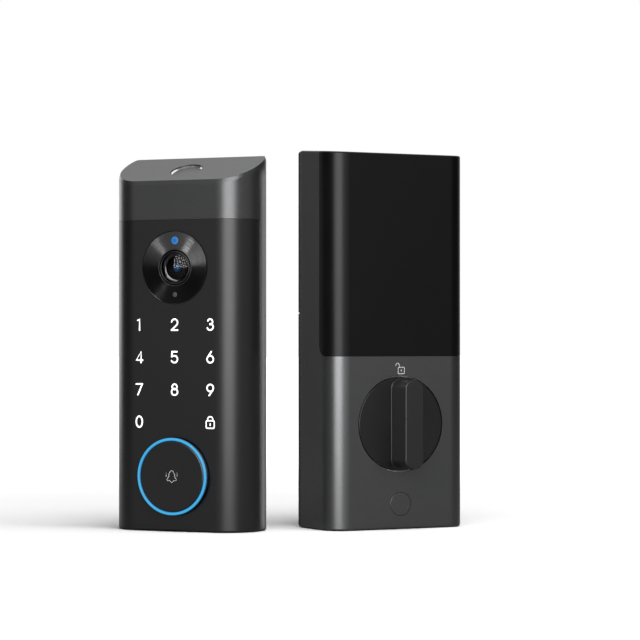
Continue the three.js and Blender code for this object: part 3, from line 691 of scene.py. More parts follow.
@finish
def lens_black(start):
    """Black anodised aluminium, fine-turned and dull, so that little light comes off it."""
    dull = 0.35 + start.noise(3000.0, 2.0) * 0.1
    return start.surface((0.0012, 0.0012, 0.0013), dull, {"Specular IOR Level": 0.05})


settle(barrel, camera_place, lens_black, "exterior_half", "camera_barrel")


def half_round(inner_radius, outer_radius, foot):
    """The profile of a ring with a half-round top that stands on y = foot."""
    middle_radius = (inner_radius + outer_radius) / 2
    size = (outer_radius - inner_radius) / 2
    steps = [math.radians(180) * i / 6 for i in range(7)]
    top = [(middle_radius - size * math.cos(angle), foot - size * math.sin(angle)) for angle in steps]
    return [(inner_radius, foot + 0.3), *top, (outer_radius, foot + 0.3), (inner_radius, foot + 0.3)]


@finish
def edge_metal(start):
    """The bright turned edge of a black anodised ring."""
    return start.surface((0.2, 0.2, 0.203), 0.3 + start.noise(1800.0, 1.0) * 0.1, {"Metallic": 1.0})


for name, inner_radius, outer_radius in (("lens_ring_inner", 7.38, 7.54), ("lens_ring_outer", 8.38, 8.52)):
    lens_ring = turned(name, half_round(inner_radius, outer_radius, barrel_lip), 0, 128)
    soften(lens_ring)
    settle(lens_ring, camera_place, edge_metal, "exterior_half")


def dome(radius, crown_y, rim_y, steps=10):
    """The profile of a dome from its crown on the axis to its rim."""
    angles = [math.radians(90) * i / steps for i in range(steps + 1)]
    return [(radius * math.sin(angle), rim_y - (rim_y - crown_y) * math.cos(angle)) for angle in angles]


front_element = turned("front_element", [*dome(1.9, 1.2, 2.6), (1.9, 2.8), (0, 2.8)], 0, 64)
soften(front_element)


@finish
def coated_glass_painted_glow(start):
    """Deep blue coated glass, nearly black, with painted shade that darkens it towards its rim as seen, and a
    faint painted glow in the same colour.
    """
    facing = start.node("LayerWeight", {}, {"Blend": 0.35}, "Facing")
    # Painted shade by the angle of view, and a painted glow in the same colour below: the element is no lamp.
    colour = facing.between((0.002, 0.022, 0.07), (0.002, 0.004, 0.02))
    return start.surface(colour, 0.03, {
        "Specular IOR Level": 0.5, "Specular Tint": (0.35, 0.8, 1, 1), "Emission Color": colour,
        "Emission Strength": 0.22,
    })


settle(front_element, camera_place, coated_glass_painted_glow, "exterior_half")

light_trap = turned("light_trap", [
    (5.7, 2.72), (6.2, 2.6), (6.6, 2.42), (7.0, 2.1), (7.0, 3.05), (5.7, 3.05), (5.7, 2.72),
])
soften(light_trap)


@finish
def gloss_black(start):
    """Black lacquer on the ring under the cover glass, with a faint turning mark."""
    gloss = 0.12 + start.noise(900.0, 2.0) * 0.06
    return start.surface((0.0008, 0.0008, 0.0008), gloss, {"Specular IOR Level": 0.4})


settle(light_trap, camera_place, gloss_black, "exterior_half")

glass_radius = 7.35
glass_inside = 7.05
cover_glass = turned("cover_glass", [
    *dome(glass_radius, -0.2, 1.8), (glass_radius, 2.6), (glass_inside, 2.6),
    *reversed(dome(glass_inside, 0.3, 1.9)),
])
soften(cover_glass)


@finish
def clear_glass(start):
    """Smoke-tinted glass with a coating that takes most of its reflections away."""
    return start.surface((0.7, 0.7, 0.71), 0.015, {"Transmission Weight": 1.0, "IOR": 1.12})


settle(cover_glass, camera_place, clear_glass, "exterior_half", "camera_lens")

# ---------- status light and light sensor
# Two small windows moulded in one with the camera's frame: a lit blue one above the lens and a
# smoked one below it, each a low dome that stands in a hole through the dish.


def window(name, radius):
    piece = turned(name, [*dome(radius, -0.1, 0.15, 5), (radius, 3), (0, 3)], 0, 40)
    soften(piece)
    return piece


def window_place(rise):
    """The middle of a window's face in the dish, at a height above the lens."""
    share = (bezel_radius - abs(rise)) / (bezel_radius - mouth_radius)
    face = bezel_rim + (bezel_mouth - bezel_rim) * share
    return moved(camera_place, 0, face, rise)


@finish
def lit_blue(start):
    """A blue diode behind a diffusing window: brighter towards the edge than in the middle."""
    radius = radius_about(start, window_place(lamp_rise))
    colour = radius.ramp(0.4 * MM, lamp_radius * MM).between((0.012, 0.14, 0.55), (0.05, 0.36, 0.88))
    return start.surface((0.01, 0.05, 0.16), 0.25, {"Emission Color": colour, "Emission Strength": 0.5})


@finish
def smoked(start):
    """Smoked grey plastic over a sensor, a little frosted."""
    return start.surface((0.05, 0.049, 0.051), 0.35 + start.noise(2500.0, 2.0) * 0.2)


status_window = window("status_window", lamp_radius)
status_place = window_place(lamp_rise)
settle(status_window, status_place, lit_blue, "exterior_half", "status_light_window")
sensor_window = window("sensor_window", sensor_radius)
sensor_place = window_place(-lamp_rise)
settle(sensor_window, sensor_place, smoked, "exterior_half", "light_sensor_window")

# ---------- keypad marks
# Ten numerals and a padlock, lit from behind through clear windows in the fascia's black paint.
# Each mark is drawn with round strokes and lies flush in the face.


def arc(x, z, across, up, start_angle, end_angle):
    """Points on part of an ellipse, its angles in degrees anticlockwise from +X."""
    count = max(4, round(abs(end_angle - start_angle) / 12))
    angles = [math.radians(start_angle + (end_angle - start_angle) * i / count) for i in range(count + 1)]
    return [(x + across * math.cos(angle), z + up * math.sin(angle)) for angle in angles]


def round_ended(points, radius):
    """Rows of (x, z, size) along a line, which swells from nothing and closes again in a half round."""
    cap = [(share, math.sqrt(1 - share * share)) for share in (0.98, 0.85, 0.6, 0.3)]
    first = (points[0] - points[1]).normalized() * radius
    last = (points[-1] - points[-2]).normalized() * radius
    return [
        *[(*(points[0] + first * share), size) for share, size in cap],
        *[(*point, 1.0) for point in points],
        *[(*(points[-1] + last * share), size) for share, size in reversed(cap)],
    ]


def stroke(points, width, closed=False):
    """A round-ended stroke in the X Z plane, as a mesh flattened towards y = 0."""
    bpy.ops.object.select_all(action="DESELECT")
    bpy.ops.curve.primitive_nurbs_path_add()
    line = bpy.context.object
    curve = line.data
    curve.splines.clear()
    if closed:
        rows = [(x, z, 1.0) for x, z in points]
    else:
        rows = round_ended([Vector(point) for point in points], width / 2)
    spline = curve.splines.new("POLY")
    spline.points.add(len(rows) - 1)
    for point, (x, z, size) in zip(spline.points, rows):
        point.co = (x, 0, z, 1)
        point.radius = size
    spline.use_cyclic_u = closed
    curve.dimensions = "3D"
    curve.bevel_depth = width / 2
    curve.bevel_resolution = 3
    curve.use_fill_caps = True
    bpy.ops.object.convert(target="MESH")
    open_up(line)
    bpy.ops.transform.resize(value=(1, 0.1, 1), center_override=(0, 0, 0))
    bpy.ops.mesh.remove_doubles(threshold=0.0005)
    bpy.ops.mesh.normals_make_consistent(inside=False)
    close_up()
    return line


def mark(name, width, closed, *lines):
    """One piece made of several strokes, the first few of which close on themselves."""
    parts = [stroke(points, width, i < closed) for i, points in enumerate(lines)]
    carve(parts[0], *parts[1:], operation="UNION")
    parts[0].name = name
    return parts[0]


# Each numeral stands within half on either side of its middle, and within tall above and below it.
# It is given by how many of its strokes close on themselves, and then by its strokes.
half = 1.6
tall = 2.55
bowl = 1.02 * half
numerals = {
    "0": (1, arc(0, 0, half, tall, 0, 348)),
    "1": (0, [(-0.75, tall - 0.5), (0.15, tall), (0.15, -tall)]),
    "2": (0, [*arc(0, tall - half, half, half, 165, -38), (-half, -tall)], [(-half, -tall), (half, -tall)]),
    "3": (0, arc(-0.05, tall - 1.25, 1.25, 1.25, 160, -90), arc(-0.05, 1.45 - tall, 1.55, 1.45, 90, -160)),
    "4": (0, [(0.95, -tall), (0.95, tall), (-half, -1.45), (half + 0.15, -1.45)]),
    "5": (0, [(half - 0.35, tall), (-1.3, tall)], [(-1.3, tall), (-1.4, 0.25)],
          [(-1.4, 0.25), *arc(-0.1, 1.62 - tall, 1.65, 1.62, 110, -152)]),
    "6": (1, arc(0, bowl - tall, bowl, bowl, 0, 348), [(-1.3, bowl - tall + 1.0), (0.5, tall)]),
    "7": (0, [(-half, tall), (half, tall)], [(half, tall), (-0.75, -tall)]),
    "8": (2, arc(0, tall - 1.22, 1.28, 1.22, 0, 348), arc(0, 1.5 - tall, 1.58, 1.5, 0, 348)),
    "9": (1, arc(0, tall - bowl, bowl, bowl, 0, 348), [(1.3, tall - bowl - 1.0), (-0.5, -tall)]),
}


@finish
def lit_white(start):
    """White light through a diffusing window, with the print's faint unevenness."""
    glow = start.noise(900.0, 2.0).between((0.94, 0.95, 0.97), (1, 1, 1))
    return start.surface((0.8, 0.8, 0.8), 0.5, {"Emission Color": glow, "Emission Strength": 0.9})


key_pitch = (18.66, 15.2)
top_row_z = 96.6


def key_place(column, row):
    """The middle of a key: columns count from the middle one, rows from the top one."""
    return moved(outer, column * key_pitch[0], front_y, top_row_z - row * key_pitch[1])


for row, numbers in enumerate(("123", "456", "789", "0")):
    for column, number in enumerate(numbers, -1):
        closed, *lines = numerals[number]
        numeral = mark("numeral_" + number, 0.78, closed, *lines)
        settle(numeral, key_place(column, row), lit_white, "exterior_half")


def rounded_box(x0, x1, z0, z1, radius):
    """The outline of a rectangle with round corners."""
    corners = [(x1 - radius, z1 - radius, 0), (x0 + radius, z1 - radius, 90),
               (x0 + radius, z0 + radius, 180), (x1 - radius, z0 + radius, 270)]
    return [point for x, z, turn in corners for point in arc(x, z, radius, radius, turn, turn + 90)]


lock_key = mark(
    "padlock_key", 0.6, 1,
    rounded_box(-2.1, 2.1, -2.6, 0.9, 0.6),
    [(-1.3, 0.9), (-1.3, 1.5), *arc(0, 1.5, 1.3, 1.3, 180, 0), (1.3, 0.9)],
    [(0, -0.5), (0, -1.3)],
)
settle(lock_key, key_place(1, 3), lit_white, "exterior_half")

# ---------- doorbell
# A round push button in the foot of the fascia: a satin black cap on a clip, with a translucent
# ring moulded round it that a row of blue diodes lights from behind, and a printed bell.

bell_radius = (bell_high.z - bell_low.z) / 2
ring_width = 1.4
ring_inside = bell_radius - ring_width
ring_front = -3.1
ring_back = ring_front + 0.8
cap_radius = ring_inside - 0.1
cap_middle = ring_front + 0.2
bell_place = moved(outer, 0, front_y, bell_z)

cap = turned("bell_cap", [
    (0, cap_middle), (cap_radius * 0.55, ring_front + 0.12), (cap_radius - 0.5, ring_front),
    (cap_radius, ring_front + 0.35), (cap_radius, ring_back + 0.3), (bell_radius, ring_back + 0.3),
    (bell_radius, 1.1), (3, 1.1), (3, 5.4), (0, 5.4),
], 0.18, 128)
soften(cap)
settle(cap, bell_place, fascia_black, "doorbell", "doorbell_button")

light_ring = turned("bell_light_ring", [
    (ring_inside, ring_front + 0.1), (ring_inside + ring_width * 0.3, ring_front - 0.12),
    (bell_radius - ring_width * 0.3, ring_front - 0.12), (bell_radius, ring_front + 0.25),
    (bell_radius, ring_back), (ring_inside, ring_back), (ring_inside, ring_front + 0.1),
], 0.15, 160)
soften(light_ring)


@finish
def ring_light(start):
    """Milky plastic lit from behind: brightest along its middle, deeper blue at both rims."""
    radius = radius_about(start, bell_place)
    from_inside = radius.ramp(ring_inside * MM, (ring_inside + 0.5) * MM)
    to_outside = radius.ramp((bell_radius - 0.45) * MM, bell_radius * MM)
    colour = (from_inside * (1 - to_outside)).between((0.008, 0.16, 0.42), (0.03, 0.38, 0.7))
    return start.surface((0.02, 0.08, 0.12), 0.4, {"Emission Color": colour, "Emission Strength": 0.95})


settle(light_ring, bell_place, ring_light, "doorbell", "doorbell_light_ring")


def mirrored(points):
    return [(-x, z) for x, z in points]


bell_side = [(0.0, 2.75), (0.55, 2.45), (1.15, 1.75), (1.45, 1.0), (1.5, 0.2), (1.75, -0.55), (2.45, -1.35),
             (2.5, -1.75), (2.1, -2.0), (1.0, -2.0), (0.5, -2.55), (0.0, -2.95)]
waves = [arc(0, 0.9, reach, reach * 0.9, -21, 21) for reach in (2.95, 3.7)]
bell_mark = mark(
    "bell_mark", 0.42, 1, bell_side + mirrored(reversed(bell_side[1:-1])), *waves, *map(mirrored, waves)
)


@finish
def grey_print(start):
    """Grey ink, pad printed, slightly worn into the satin face."""
    return start.surface(start.noise(4000.0, 2.0).between((0.36, 0.36, 0.37), (0.48, 0.48, 0.49)), 0.55)


bell_mark_place = moved(bell_place, 0, cap_middle - 0.01, 0.1)
settle(bell_mark, bell_mark_place, grey_print, "doorbell")

# ---------- fingerprint reader
# A round touch pad sunk a little into the sloped top and painted in the housing's own grey, with a
# thin polished rim that a finger finds without looking.

pad_place = outer @ reader_place @ Matrix.Rotation(math.radians(90), 4, "X")
pad = turned("reader_pad", [(0, -1.05), (6.8, -1.05), (6.8, -1.65), (0, -1.65)], 0.1, 128)
soften(pad)
settle(pad, pad_place, gunmetal, "exterior_half", "fingerprint_sensor")

pad_ring = turned("reader_ring", [
    (6.85, -1.65), (6.85, -1.25), (7.6, -0.58), (7.7, -0.6), (7.7, -1.65), (6.85, -1.65),
], 0, 128)
soften(pad_ring)


@finish
def bright_ring(start):
    """A turned and polished aluminium ring."""
    return start.surface((0.6, 0.6, 0.61), 0.18 + start.noise(2600.0, 1.0) * 0.06, {"Metallic": 1.0})


settle(pad_ring, pad_place, bright_ring, "exterior_half", "fingerprint_trim_ring")

# ---------- interior housing
# The gun-metal shell of the inner half: a die-cast box with round front corners, a sloped top, a
# bay for the battery under the cover, and a round hole for the thumb turn.

turn_z = 49.7
inner = half_frame(joints["thumb_turn_hinge"]["axis"], joints["thumb_turn_hinge"]["pos_m"], (0, -20, turn_z))
box_low, box_high = span("interior_housing", inner)
plate_low, plate_high = span("mounting_plate", inner)
cover_low, cover_high = span("battery_cover", inner)
inner_side = box_high.x
inner_front = box_low.y
inner_front_top = 177.7
inner_corner = 10
plate_thickness = 2.3
inner_back_top = plate_high.z + 0.2
inner_slope = math.atan2(inner_back_top - inner_front_top, -plate_thickness - inner_front)
inner_top = sloped_top(inner_slope, inner_front, inner_front_top)
inner_round = 0.9


def inner_block(name, inset, bottom, top):
    """A block with the plan of the inner half, drawn in by inset at its front and sides."""
    front, back = inner_front + inset, box_high.y
    piece = block(name, (inset - inner_side, front, bottom), (inner_side - inset, back, top))
    open_up(piece)
    bevel_edges(lambda edge: upright_at(edge, front), inner_corner - inset, 16)
    bevel_edges(lambda edge: upright_at(edge, back), 1, 4)
    close_up()
    return piece


def cover_block(name, grow):
    """What the cover takes up, seen from the side: its lower back corner is round."""
    back, bottom = cover_high.y + grow, cover_low.z - grow
    piece = block(name, (-50, -50, bottom), (50, back, 200))
    round_edges(piece, lambda edge: lies_at(edge, y=back, z=bottom), 5.5 + grow, 10)
    return piece


inner_wall = 2.5
works_top = 79
bay_bottom = 86
setup_z = 11.8
cover_gap = 0.12
inner_front_wall = (-40, -30)
bay_screws = ((-26, 128), (26, 128))
inner_shell = inner_block("interior_shell", 0, 0, box_high.z + 5)
cut_to_slope(inner_shell, inner_top)
round_edges(inner_shell, lambda edge: on_slope(edge, inner_top), inner_round, 3)
round_edges(inner_shell, lambda edge: lies_at(edge, z=0), inner_round, 3)
carve(
    inner_shell,
    cover_block("cover_room", cover_gap),
    inner_block("works", inner_wall, 3, works_top),
    block("works_back", (inner_wall - inner_side, -12, 3), (inner_side - inner_wall, 2, works_top)),
    block("bay", (-32, -40, bay_bottom), (32, -6, 172)),
    block("wire_slot", (-6.5, -16.5, works_top - 1), (6.5, -10.5, bay_bottom + 1)),
    bore("dial_hole", 22.8, inner_front_wall, 0, turn_z, 128),
    bore("setup_hole", 5.65, inner_front_wall, 0, setup_z, 64),
    *[bore("screw_hole", 1.8, (-7, 2), x, z, 16) for x, z in bay_screws],
)
soften(inner_shell, 0.2)
settle(inner_shell, inner, gunmetal, "interior_half", "interior_housing")

# ---------- battery cover
# The matt black cover over the upper part of the inner half: a moulded cap with a top, a front and
# two sides, which slides up off the housing to reach the battery.

cover_wall = 2
cover = inner_block("cover_cap", 0, 0, box_high.z + 5)
cut_to_slope(cover, inner_top)
round_edges(cover, lambda edge: on_slope(edge, inner_top), inner_round, 3)
carve(cover, cover_block("cover_zone", 0), operation="INTERSECT")
cover_inside = inner_block("cover_inside", cover_wall, -5, box_high.z + 5)
cut_to_slope(cover_inside, inner_top, cover_wall)
carve(cover, cover_inside)
soften(cover, 0.25)


@finish
def cover_black(start):
    """Moulded black plastic with a very fine spark-eroded grain."""
    cloud = start.noise(30.0, 3.0)
    colour = cloud.between((0.0012, 0.0012, 0.0012), (0.002, 0.002, 0.002))
    grain = start.relief(0.2, 0.00003, start.noise(2600.0, 2.0))
    return start.surface(colour, 0.31 + cloud * 0.06, {"Normal": grain, "Specular IOR Level": 0.21})


settle(cover, inner, cover_black, "cover", "battery_cover")

# ---------- thumb turn
# A spun dark disc flush in the housing with a bar across it to grip, milled from one bar of
# aluminium with round ends and rounded front edges.

turn_place = moved(inner, 0, inner_front, turn_z)
dial_radius = 22.3
dial_thickness = 2.5
dial = turned("turn_dial", [
    (0, 0), (dial_radius, 0), (dial_radius, dial_thickness), (8, dial_thickness), (8, 7), (0, 7),
], 0.25, 160)
soften(dial)


@finish
def spun_dial(start):
    """Dark aluminium, spun flat and dull."""
    return spun(start, turn_place, (0.05, 0.05, 0.051), 0.3, 0.5, 0)


settle(dial, turn_place, spun_dial, "thumb_turn", "thumb_turn_dial")


def round_ended_bar(name, half_width, half_length, front, corner, edge_round):
    """A bar that stands on the dial: its ends are round in front view, and so are its front edges."""
    piece = block(name, (-half_width, front, -half_length), (half_width, -0.02, half_length))
    round_edges(piece, lambda edge: runs_along(edge, "y"), corner, 12)
    round_edges(piece, lambda edge: lies_at(edge, y=front), edge_round, 4)
    soften(piece)
    return piece


grip_half_width = 4.9
grip_half_length = 20.75
grip_proud = 13.5
grip_corner = 4.0
skirt = 0.5
grip = round_ended_bar("turn_grip", grip_half_width, grip_half_length, -grip_proud, grip_corner, 0.55)
grip_foot = round_ended_bar(
    "turn_grip_foot", grip_half_width + skirt, grip_half_length + skirt, -0.55, grip_corner + skirt, 0.3
)
carve(grip, grip_foot, operation="UNION")
soften(grip)


@finish
def milled_dark(start):
    """Dark anodised aluminium, finely blasted after milling."""
    blast = start.noise(4200.0, 2.0)
    colour = blast.between((0.035, 0.035, 0.037), (0.05, 0.05, 0.052))
    return start.surface(colour, 0.34, {"Metallic": 0.8, "Normal": start.relief(0.2, 0.00003, blast)})


settle(grip, turn_place, milled_dark, "thumb_turn", "thumb_turn_grip")

# ---------- open padlock
# The mark above the thumb turn that shows which way it opens, pad printed in grey.

open_lock = mark(
    "open_padlock", 0.4, 1,
    rounded_box(-1.55, 1.85, -2.6, 0.35, 0.45),
    [(-0.9, 0.35), (-0.9, 1.3), *arc(-1.85, 1.3, 0.95, 1.0, 0, 180)],
    [(0.15, -0.75), (0.15, -1.5)],
)
open_lock_place = moved(inner, 0.2, inner_front, 76.1)
settle(open_lock, open_lock_place, grey_print, "interior_half")

# ---------- setup button
# A flush round button near the foot of the inner half, in the housing's own paint, with a flange
# behind the wall that keeps it in.

button = turned("setup_cap", [
    (0, 0), (5.5, 0), (5.5, 2.8), (7, 2.8), (7, 3.5), (2, 3.5), (2, 4.3), (0, 4.3),
], 0.15, 72)
soften(button)
button_place = moved(inner, 0, inner_front, setup_z)
settle(button, button_place, gunmetal, "setup", "setup_button")

# ---------- exterior back plate
# The pressed steel sheet that closes the outer half's back and carries its posts. A raised field
# stiffens it, and four screws hold it to bosses inside the housing.


def sheet(name, low, high, corner):
    """A sheet that lies across Y, with round corners."""
    piece = block(name, low, high)
    round_edges(piece, lambda edge: runs_along(edge, "y"), corner, 6)
    return piece


tail_z = 44
posts = {"left": -17.5, "right": 17.5}
cable_z = tail_z + 20
cable_radius = 5.9
steel_low, steel_high = span("exterior_back_plate", outer)
through_sheet = (-5, 1)
plate_screws = [(x, z) for z in (14, 158) for x in (-22.5, 22.5)]

back_sheet = sheet("back_sheet", steel_low, steel_high, 3)
field_border = Vector((11, 0, 11))
field_back = steel_high.y + 0.45
field_low = Vector((steel_low.x, steel_high.y - 0.5, steel_low.z)) + field_border
field_high = Vector((steel_high.x, field_back, steel_high.z)) - field_border
field = sheet("field", field_low, field_high, 4)
round_edges(field, lambda edge: lies_at(edge, y=field_back), 0.4, 3)
carve(back_sheet, field, operation="UNION")
carve(
    back_sheet,
    bore("tail_hole", 6.3, through_sheet, 0, tail_z),
    *[bore("post_hole", 4.2, through_sheet, x, tail_z) for x in posts.values()],
    bore("cable_hole", cable_radius, through_sheet, 0, cable_z),
    *[bore("screw_hole", 1.4, through_sheet, x, z, 24) for x, z in plate_screws],
)
soften(back_sheet, 0.15)


@finish
def plated_steel(start):
    """Zinc-plated steel: a cloudy spangle under fine rolling marks."""
    spangle = start.node("TexVoronoi", {"feature": "SMOOTH_F1"}, {"Vector": start.place(), "Scale": 260.0})
    cloud = start.noise(60.0, 5.0)
    along = start.node("Mapping", {}, {"Vector": start.place(), "Scale": (5000, 5000, 120)})
    rolled = start.node("TexNoise", {}, {"Vector": along, "Scale": 1.0, "Detail": 2.0})
    colour = (cloud * 0.7 + spangle * 0.5).between((0.27, 0.28, 0.29), (0.42, 0.43, 0.44))
    marks = start.relief(0.15, 0.00003, rolled)
    return start.surface(colour, 0.3 + cloud * 0.18, {"Metallic": 1.0, "Normal": marks})


settle(back_sheet, outer, plated_steel, "exterior_half", "exterior_back_plate")

# ---------- gasket
# A frame of black rubber behind the plate's edge, which seals it to the door. A groove runs along
# the middle of its face, so that two lips bear on the door.

seal_low, seal_high = span("exterior_gasket", outer)
seal_width = 3.6
lip_width = 1.2


def frame_of(name, low, high, corner, width):
    """A flat rubber frame: a sheet with a window that leaves this width all round."""
    piece = sheet(name, low, high, corner)
    step = Vector((width, -1, width))
    carve(piece, sheet("window", low + step, high - step, max(corner - width, 0.5)))
    return piece


seal = frame_of("door_seal", seal_low, seal_high, 3, seal_width)
groove_low = seal_low + Vector((lip_width, 0.75, lip_width))
groove_high = seal_high - Vector((lip_width, -1, lip_width))
carve(seal, frame_of("groove", groove_low, groove_high, 2, seal_width - 2 * lip_width))
soften(seal, 0.18)


@finish
def black_rubber(start):
    """Moulded rubber, dull and slightly dusty."""
    bloom = start.noise(70.0, 4.0)
    colour = bloom.between((0.004, 0.004, 0.004), (0.011, 0.011, 0.0115))
    skin = start.relief(0.3, 0.00004, start.noise(1800.0, 3.0))
    return start.surface(colour, 0.6 + bloom * 0.2, {"Normal": skin})


settle(seal, outer, black_rubber, "exterior_half", "exterior_gasket")

# ---------- mounting posts
# Two turned steel posts, pressed into the plate from the inside, with a threaded bore each. The
# long bolts from the inner half screw into them through the door.

thread = [(2.2 + 0.22 * (i % 2), 15.4 - 0.35 * i) for i in range(30)]
post = turned("mounting_post", [
    (0, -5.3), (6, -5.3), (6, -3.3), (4, -3.3), (4, 15.6), (3.6, 16), (2.6, 16), *thread, (2.2, 3), (0, 2.2),
], 0, 48)
soften(post, 0.1)


def twin(piece, name):
    """A copy of a piece with a mesh of its own."""
    copy = piece.copy()
    copy.data = piece.data.copy()
    copy.name = name
    bpy.context.scene.collection.objects.link(copy)
    return copy


post_pieces = (post, twin(post, "mounting_post_twin"))
for piece, (side, x) in zip(post_pieces, posts.items()):
    settle(piece, moved(outer, x, 0, tail_z), plated_steel, "exterior_half", "mounting_post_" + side)

# ---------- screws
# Pan-head machine screws with a cross recess: four in the back plate, two in the battery bay and
# one in the inner half's foot.


def pan_screw(name, head, length):
    """A screw along Y whose head, towards -Y, stands on y = 0."""
    shank = [(1.0 - 0.16 * (i % 2), 0.2 + 0.25 * i) for i in range(int((length - 0.9) / 0.25))]
    piece = turned(name, [
        (0, -head), (1.3, -head), (2.2, -0.8 * head), (2.6, -0.35 * head), (2.6, 0), (1, 0), *shank,
        (0, length),
    ], 0, 40)
    recess = block("recess", (-1.45, -head - 1, -0.3), (1.45, -0.35 * head, 0.3))
    crossed = block("recess", (-0.3, -head - 1, -1.45), (0.3, -0.35 * head, 1.45))
    carve(piece, recess, crossed)
    soften(piece, 0.04)
    return piece


plate_screw = pan_screw("plate_screw", 1.1, 9)
screw_pieces = [plate_screw] + [twin(plate_screw, "plate_screw_%d" % i) for i in (2, 3, 4)]
head_back = Matrix.Rotation(math.pi, 4, "Z")
for i, (piece, (x, z)) in enumerate(zip(screw_pieces, plate_screws), 1):
    spot = moved(outer, x, steel_high.y + 0.3, z) @ head_back
    settle(piece, spot, plated_steel, "exterior_half", "back_plate_screw_%d" % i)

bay_screw = pan_screw("bay_screw", 1.6, 5)
foot_screw = pan_screw("foot_screw", 1.1, 4.8)
bay_seats = [moved(inner, x, -6.3, z) for x, z in bay_screws]
foot_seat = moved(inner, 0, -6, 1.5) @ Matrix.Rotation(math.pi / 2, 4, "X")
inner_screws = {
    "left": (bay_screw, bay_seats[0]),
    "right": (twin(bay_screw, "bay_screw_twin"), bay_seats[1]),
    "bottom": (foot_screw, foot_seat),
}
for side, (piece, seat) in inner_screws.items():
    settle(piece, seat, plated_steel, "interior_half", "housing_screw_" + side)

# ---------- cable grommets
# A rubber sleeve in the cable hole of each half, snapped into its plate, so that the cable through
# the door isn't cut by the sheet's edge.


def grommet(name, y0, y1):
    """A sleeve in the hole through a plate from y0 to y1, with its flange on the inside."""
    hole, sleeve, flange = cable_radius - 1.3, cable_radius - 0.1, cable_radius + 1.1
    piece = turned(name, [
        (hole + 0.3, y0 - 1.2), (hole, y0), (hole, y1), (hole + 0.4, y1 + 0.6), (sleeve, y1 + 0.55),
        (sleeve, y0), (flange, y0 - 0.05), (flange, y0 - 1.0), (hole + 0.3, y0 - 1.2),
    ], 0.14, 64)
    soften(piece)
    return piece


inner_cable_z = turn_z - 20.7
grommets = (
    ("exterior", grommet("outer_cable_sleeve", steel_low.y, steel_high.y), outer, cable_z),
    ("interior", grommet("inner_cable_sleeve", -plate_thickness, 0), inner, inner_cable_z),
)
for side, piece, half_place, z in grommets:
    settle(piece, moved(half_place, 0, 0, z), black_rubber, side + "_half", side + "_cable_grommet")

# ---------- tailpiece
# The flat steel blade that turns the drive hub through the door: it is cut to the door's thickness
# along one of the notches pressed across it.

tail_place = moved(outer, 0, key_y + 6, tail_z)
blade_end = 32
blade = block("tail_blade", (-3.2, 6, -1.2), (3.2, blade_end, 1.2))
open_up(blade)
for notch in range(12, 32, 4):
    for cut_y in (notch - 0.35, notch, notch + 0.35):
        bpy.ops.mesh.select_all(action="SELECT")
        bpy.ops.mesh.bisect(plane_co=(0, cut_y, 0), plane_no=(0, 1, 0))
    pick("VERT", lambda vertex: abs(vertex.co.y - notch) < 0.01)
    bpy.ops.transform.resize(value=(0.92, 1, 0.72), center_override=(0, notch, 0))
bevel_edges(lambda edge: upright_at(edge, blade_end), 1.1, 4)
close_up()
collar = turned("tail_collar", [
    (0, -3.4), (2.2, -3.4), (2.2, 2.6), (3.5, 2.6), (3.5, 6.4), (0, 6.4),
], 0.2, 48)
carve(blade, collar, operation="UNION")
soften(blade, 0.1)
settle(blade, tail_place, plated_steel, "tail", "tailpiece")

# ---------- key cylinder
# The spare way in, in the outer half's foot: a brass cylinder with a turned mouth, and in it the
# plug, whose keyway is broken by wards. It is drilled and broached from brass bar.

cylinder_place = moved(outer, 0, key_y, 0) @ Matrix.Rotation(math.pi / 2, 4, "X")
cylinder_body = turned("cylinder_body", [
    (4.15, 0.8), (4.45, 0.8), (4.6, 0.95), (5.2, 0.95), (5.4, 0.8), (5.7, 0.8), (6, 1.1), (6, 30), (4.15, 30),
    (4.15, 0.8),
])
carve(cylinder_body, block("pin_stack", (-2.5, 3.6, -8.8), (2.5, 30, -5.5)), operation="UNION")
soften(cylinder_body, 0.12)

plug_top = tail_z - 9.7
plug_neck = plug_top + 3
plug = turned("key_plug_face", [
    (0, 0.8), (3.7, 0.8), (4.05, 1.1), (4.05, plug_top), (2.2, plug_top), (2.2, plug_neck), (0, plug_neck),
], 0, 72)
key_depth = 24
carve(
    plug,
    block("keyway", (-0.45, -1, -3.3), (0.45, key_depth, 3.3)),
    block("ward", (-1.1, -1, -3.3), (0.1, key_depth, -1.7)),
    block("ward", (-0.1, -1, -0.7), (1.1, key_depth, 0.9)),
    block("ward", (-1.1, -1, 1.9), (0.1, key_depth, 3.0)),
)
soften(plug, 0.1)


@finish
def machined_brass(start):
    """Machined brass with fine turning lines and a faint tarnish."""
    tarnish = start.noise(200.0, 4.0)
    colour = tarnish.between((0.4, 0.25, 0.07), (0.56, 0.38, 0.13))
    ring = start.noise_along(radius_about(start, cylinder_place) / (0.06 * MM), 1.0)
    lines = start.relief(0.2, 0.00002, ring)
    return start.surface(colour, 0.24 + tarnish * 0.12, {"Metallic": 1.0, "Normal": lines})


settle(cylinder_body, cylinder_place, machined_brass, "exterior_half", "key_cylinder")
settle(plug, cylinder_place, machined_brass, "plug", "key_plug")

# ---------- mounting plate
# The black-coated steel plate that the long bolts clamp to the inside of the door. The inner half
# hangs on it. Pressed beads stiffen it, and a tab at its foot takes the last screw.

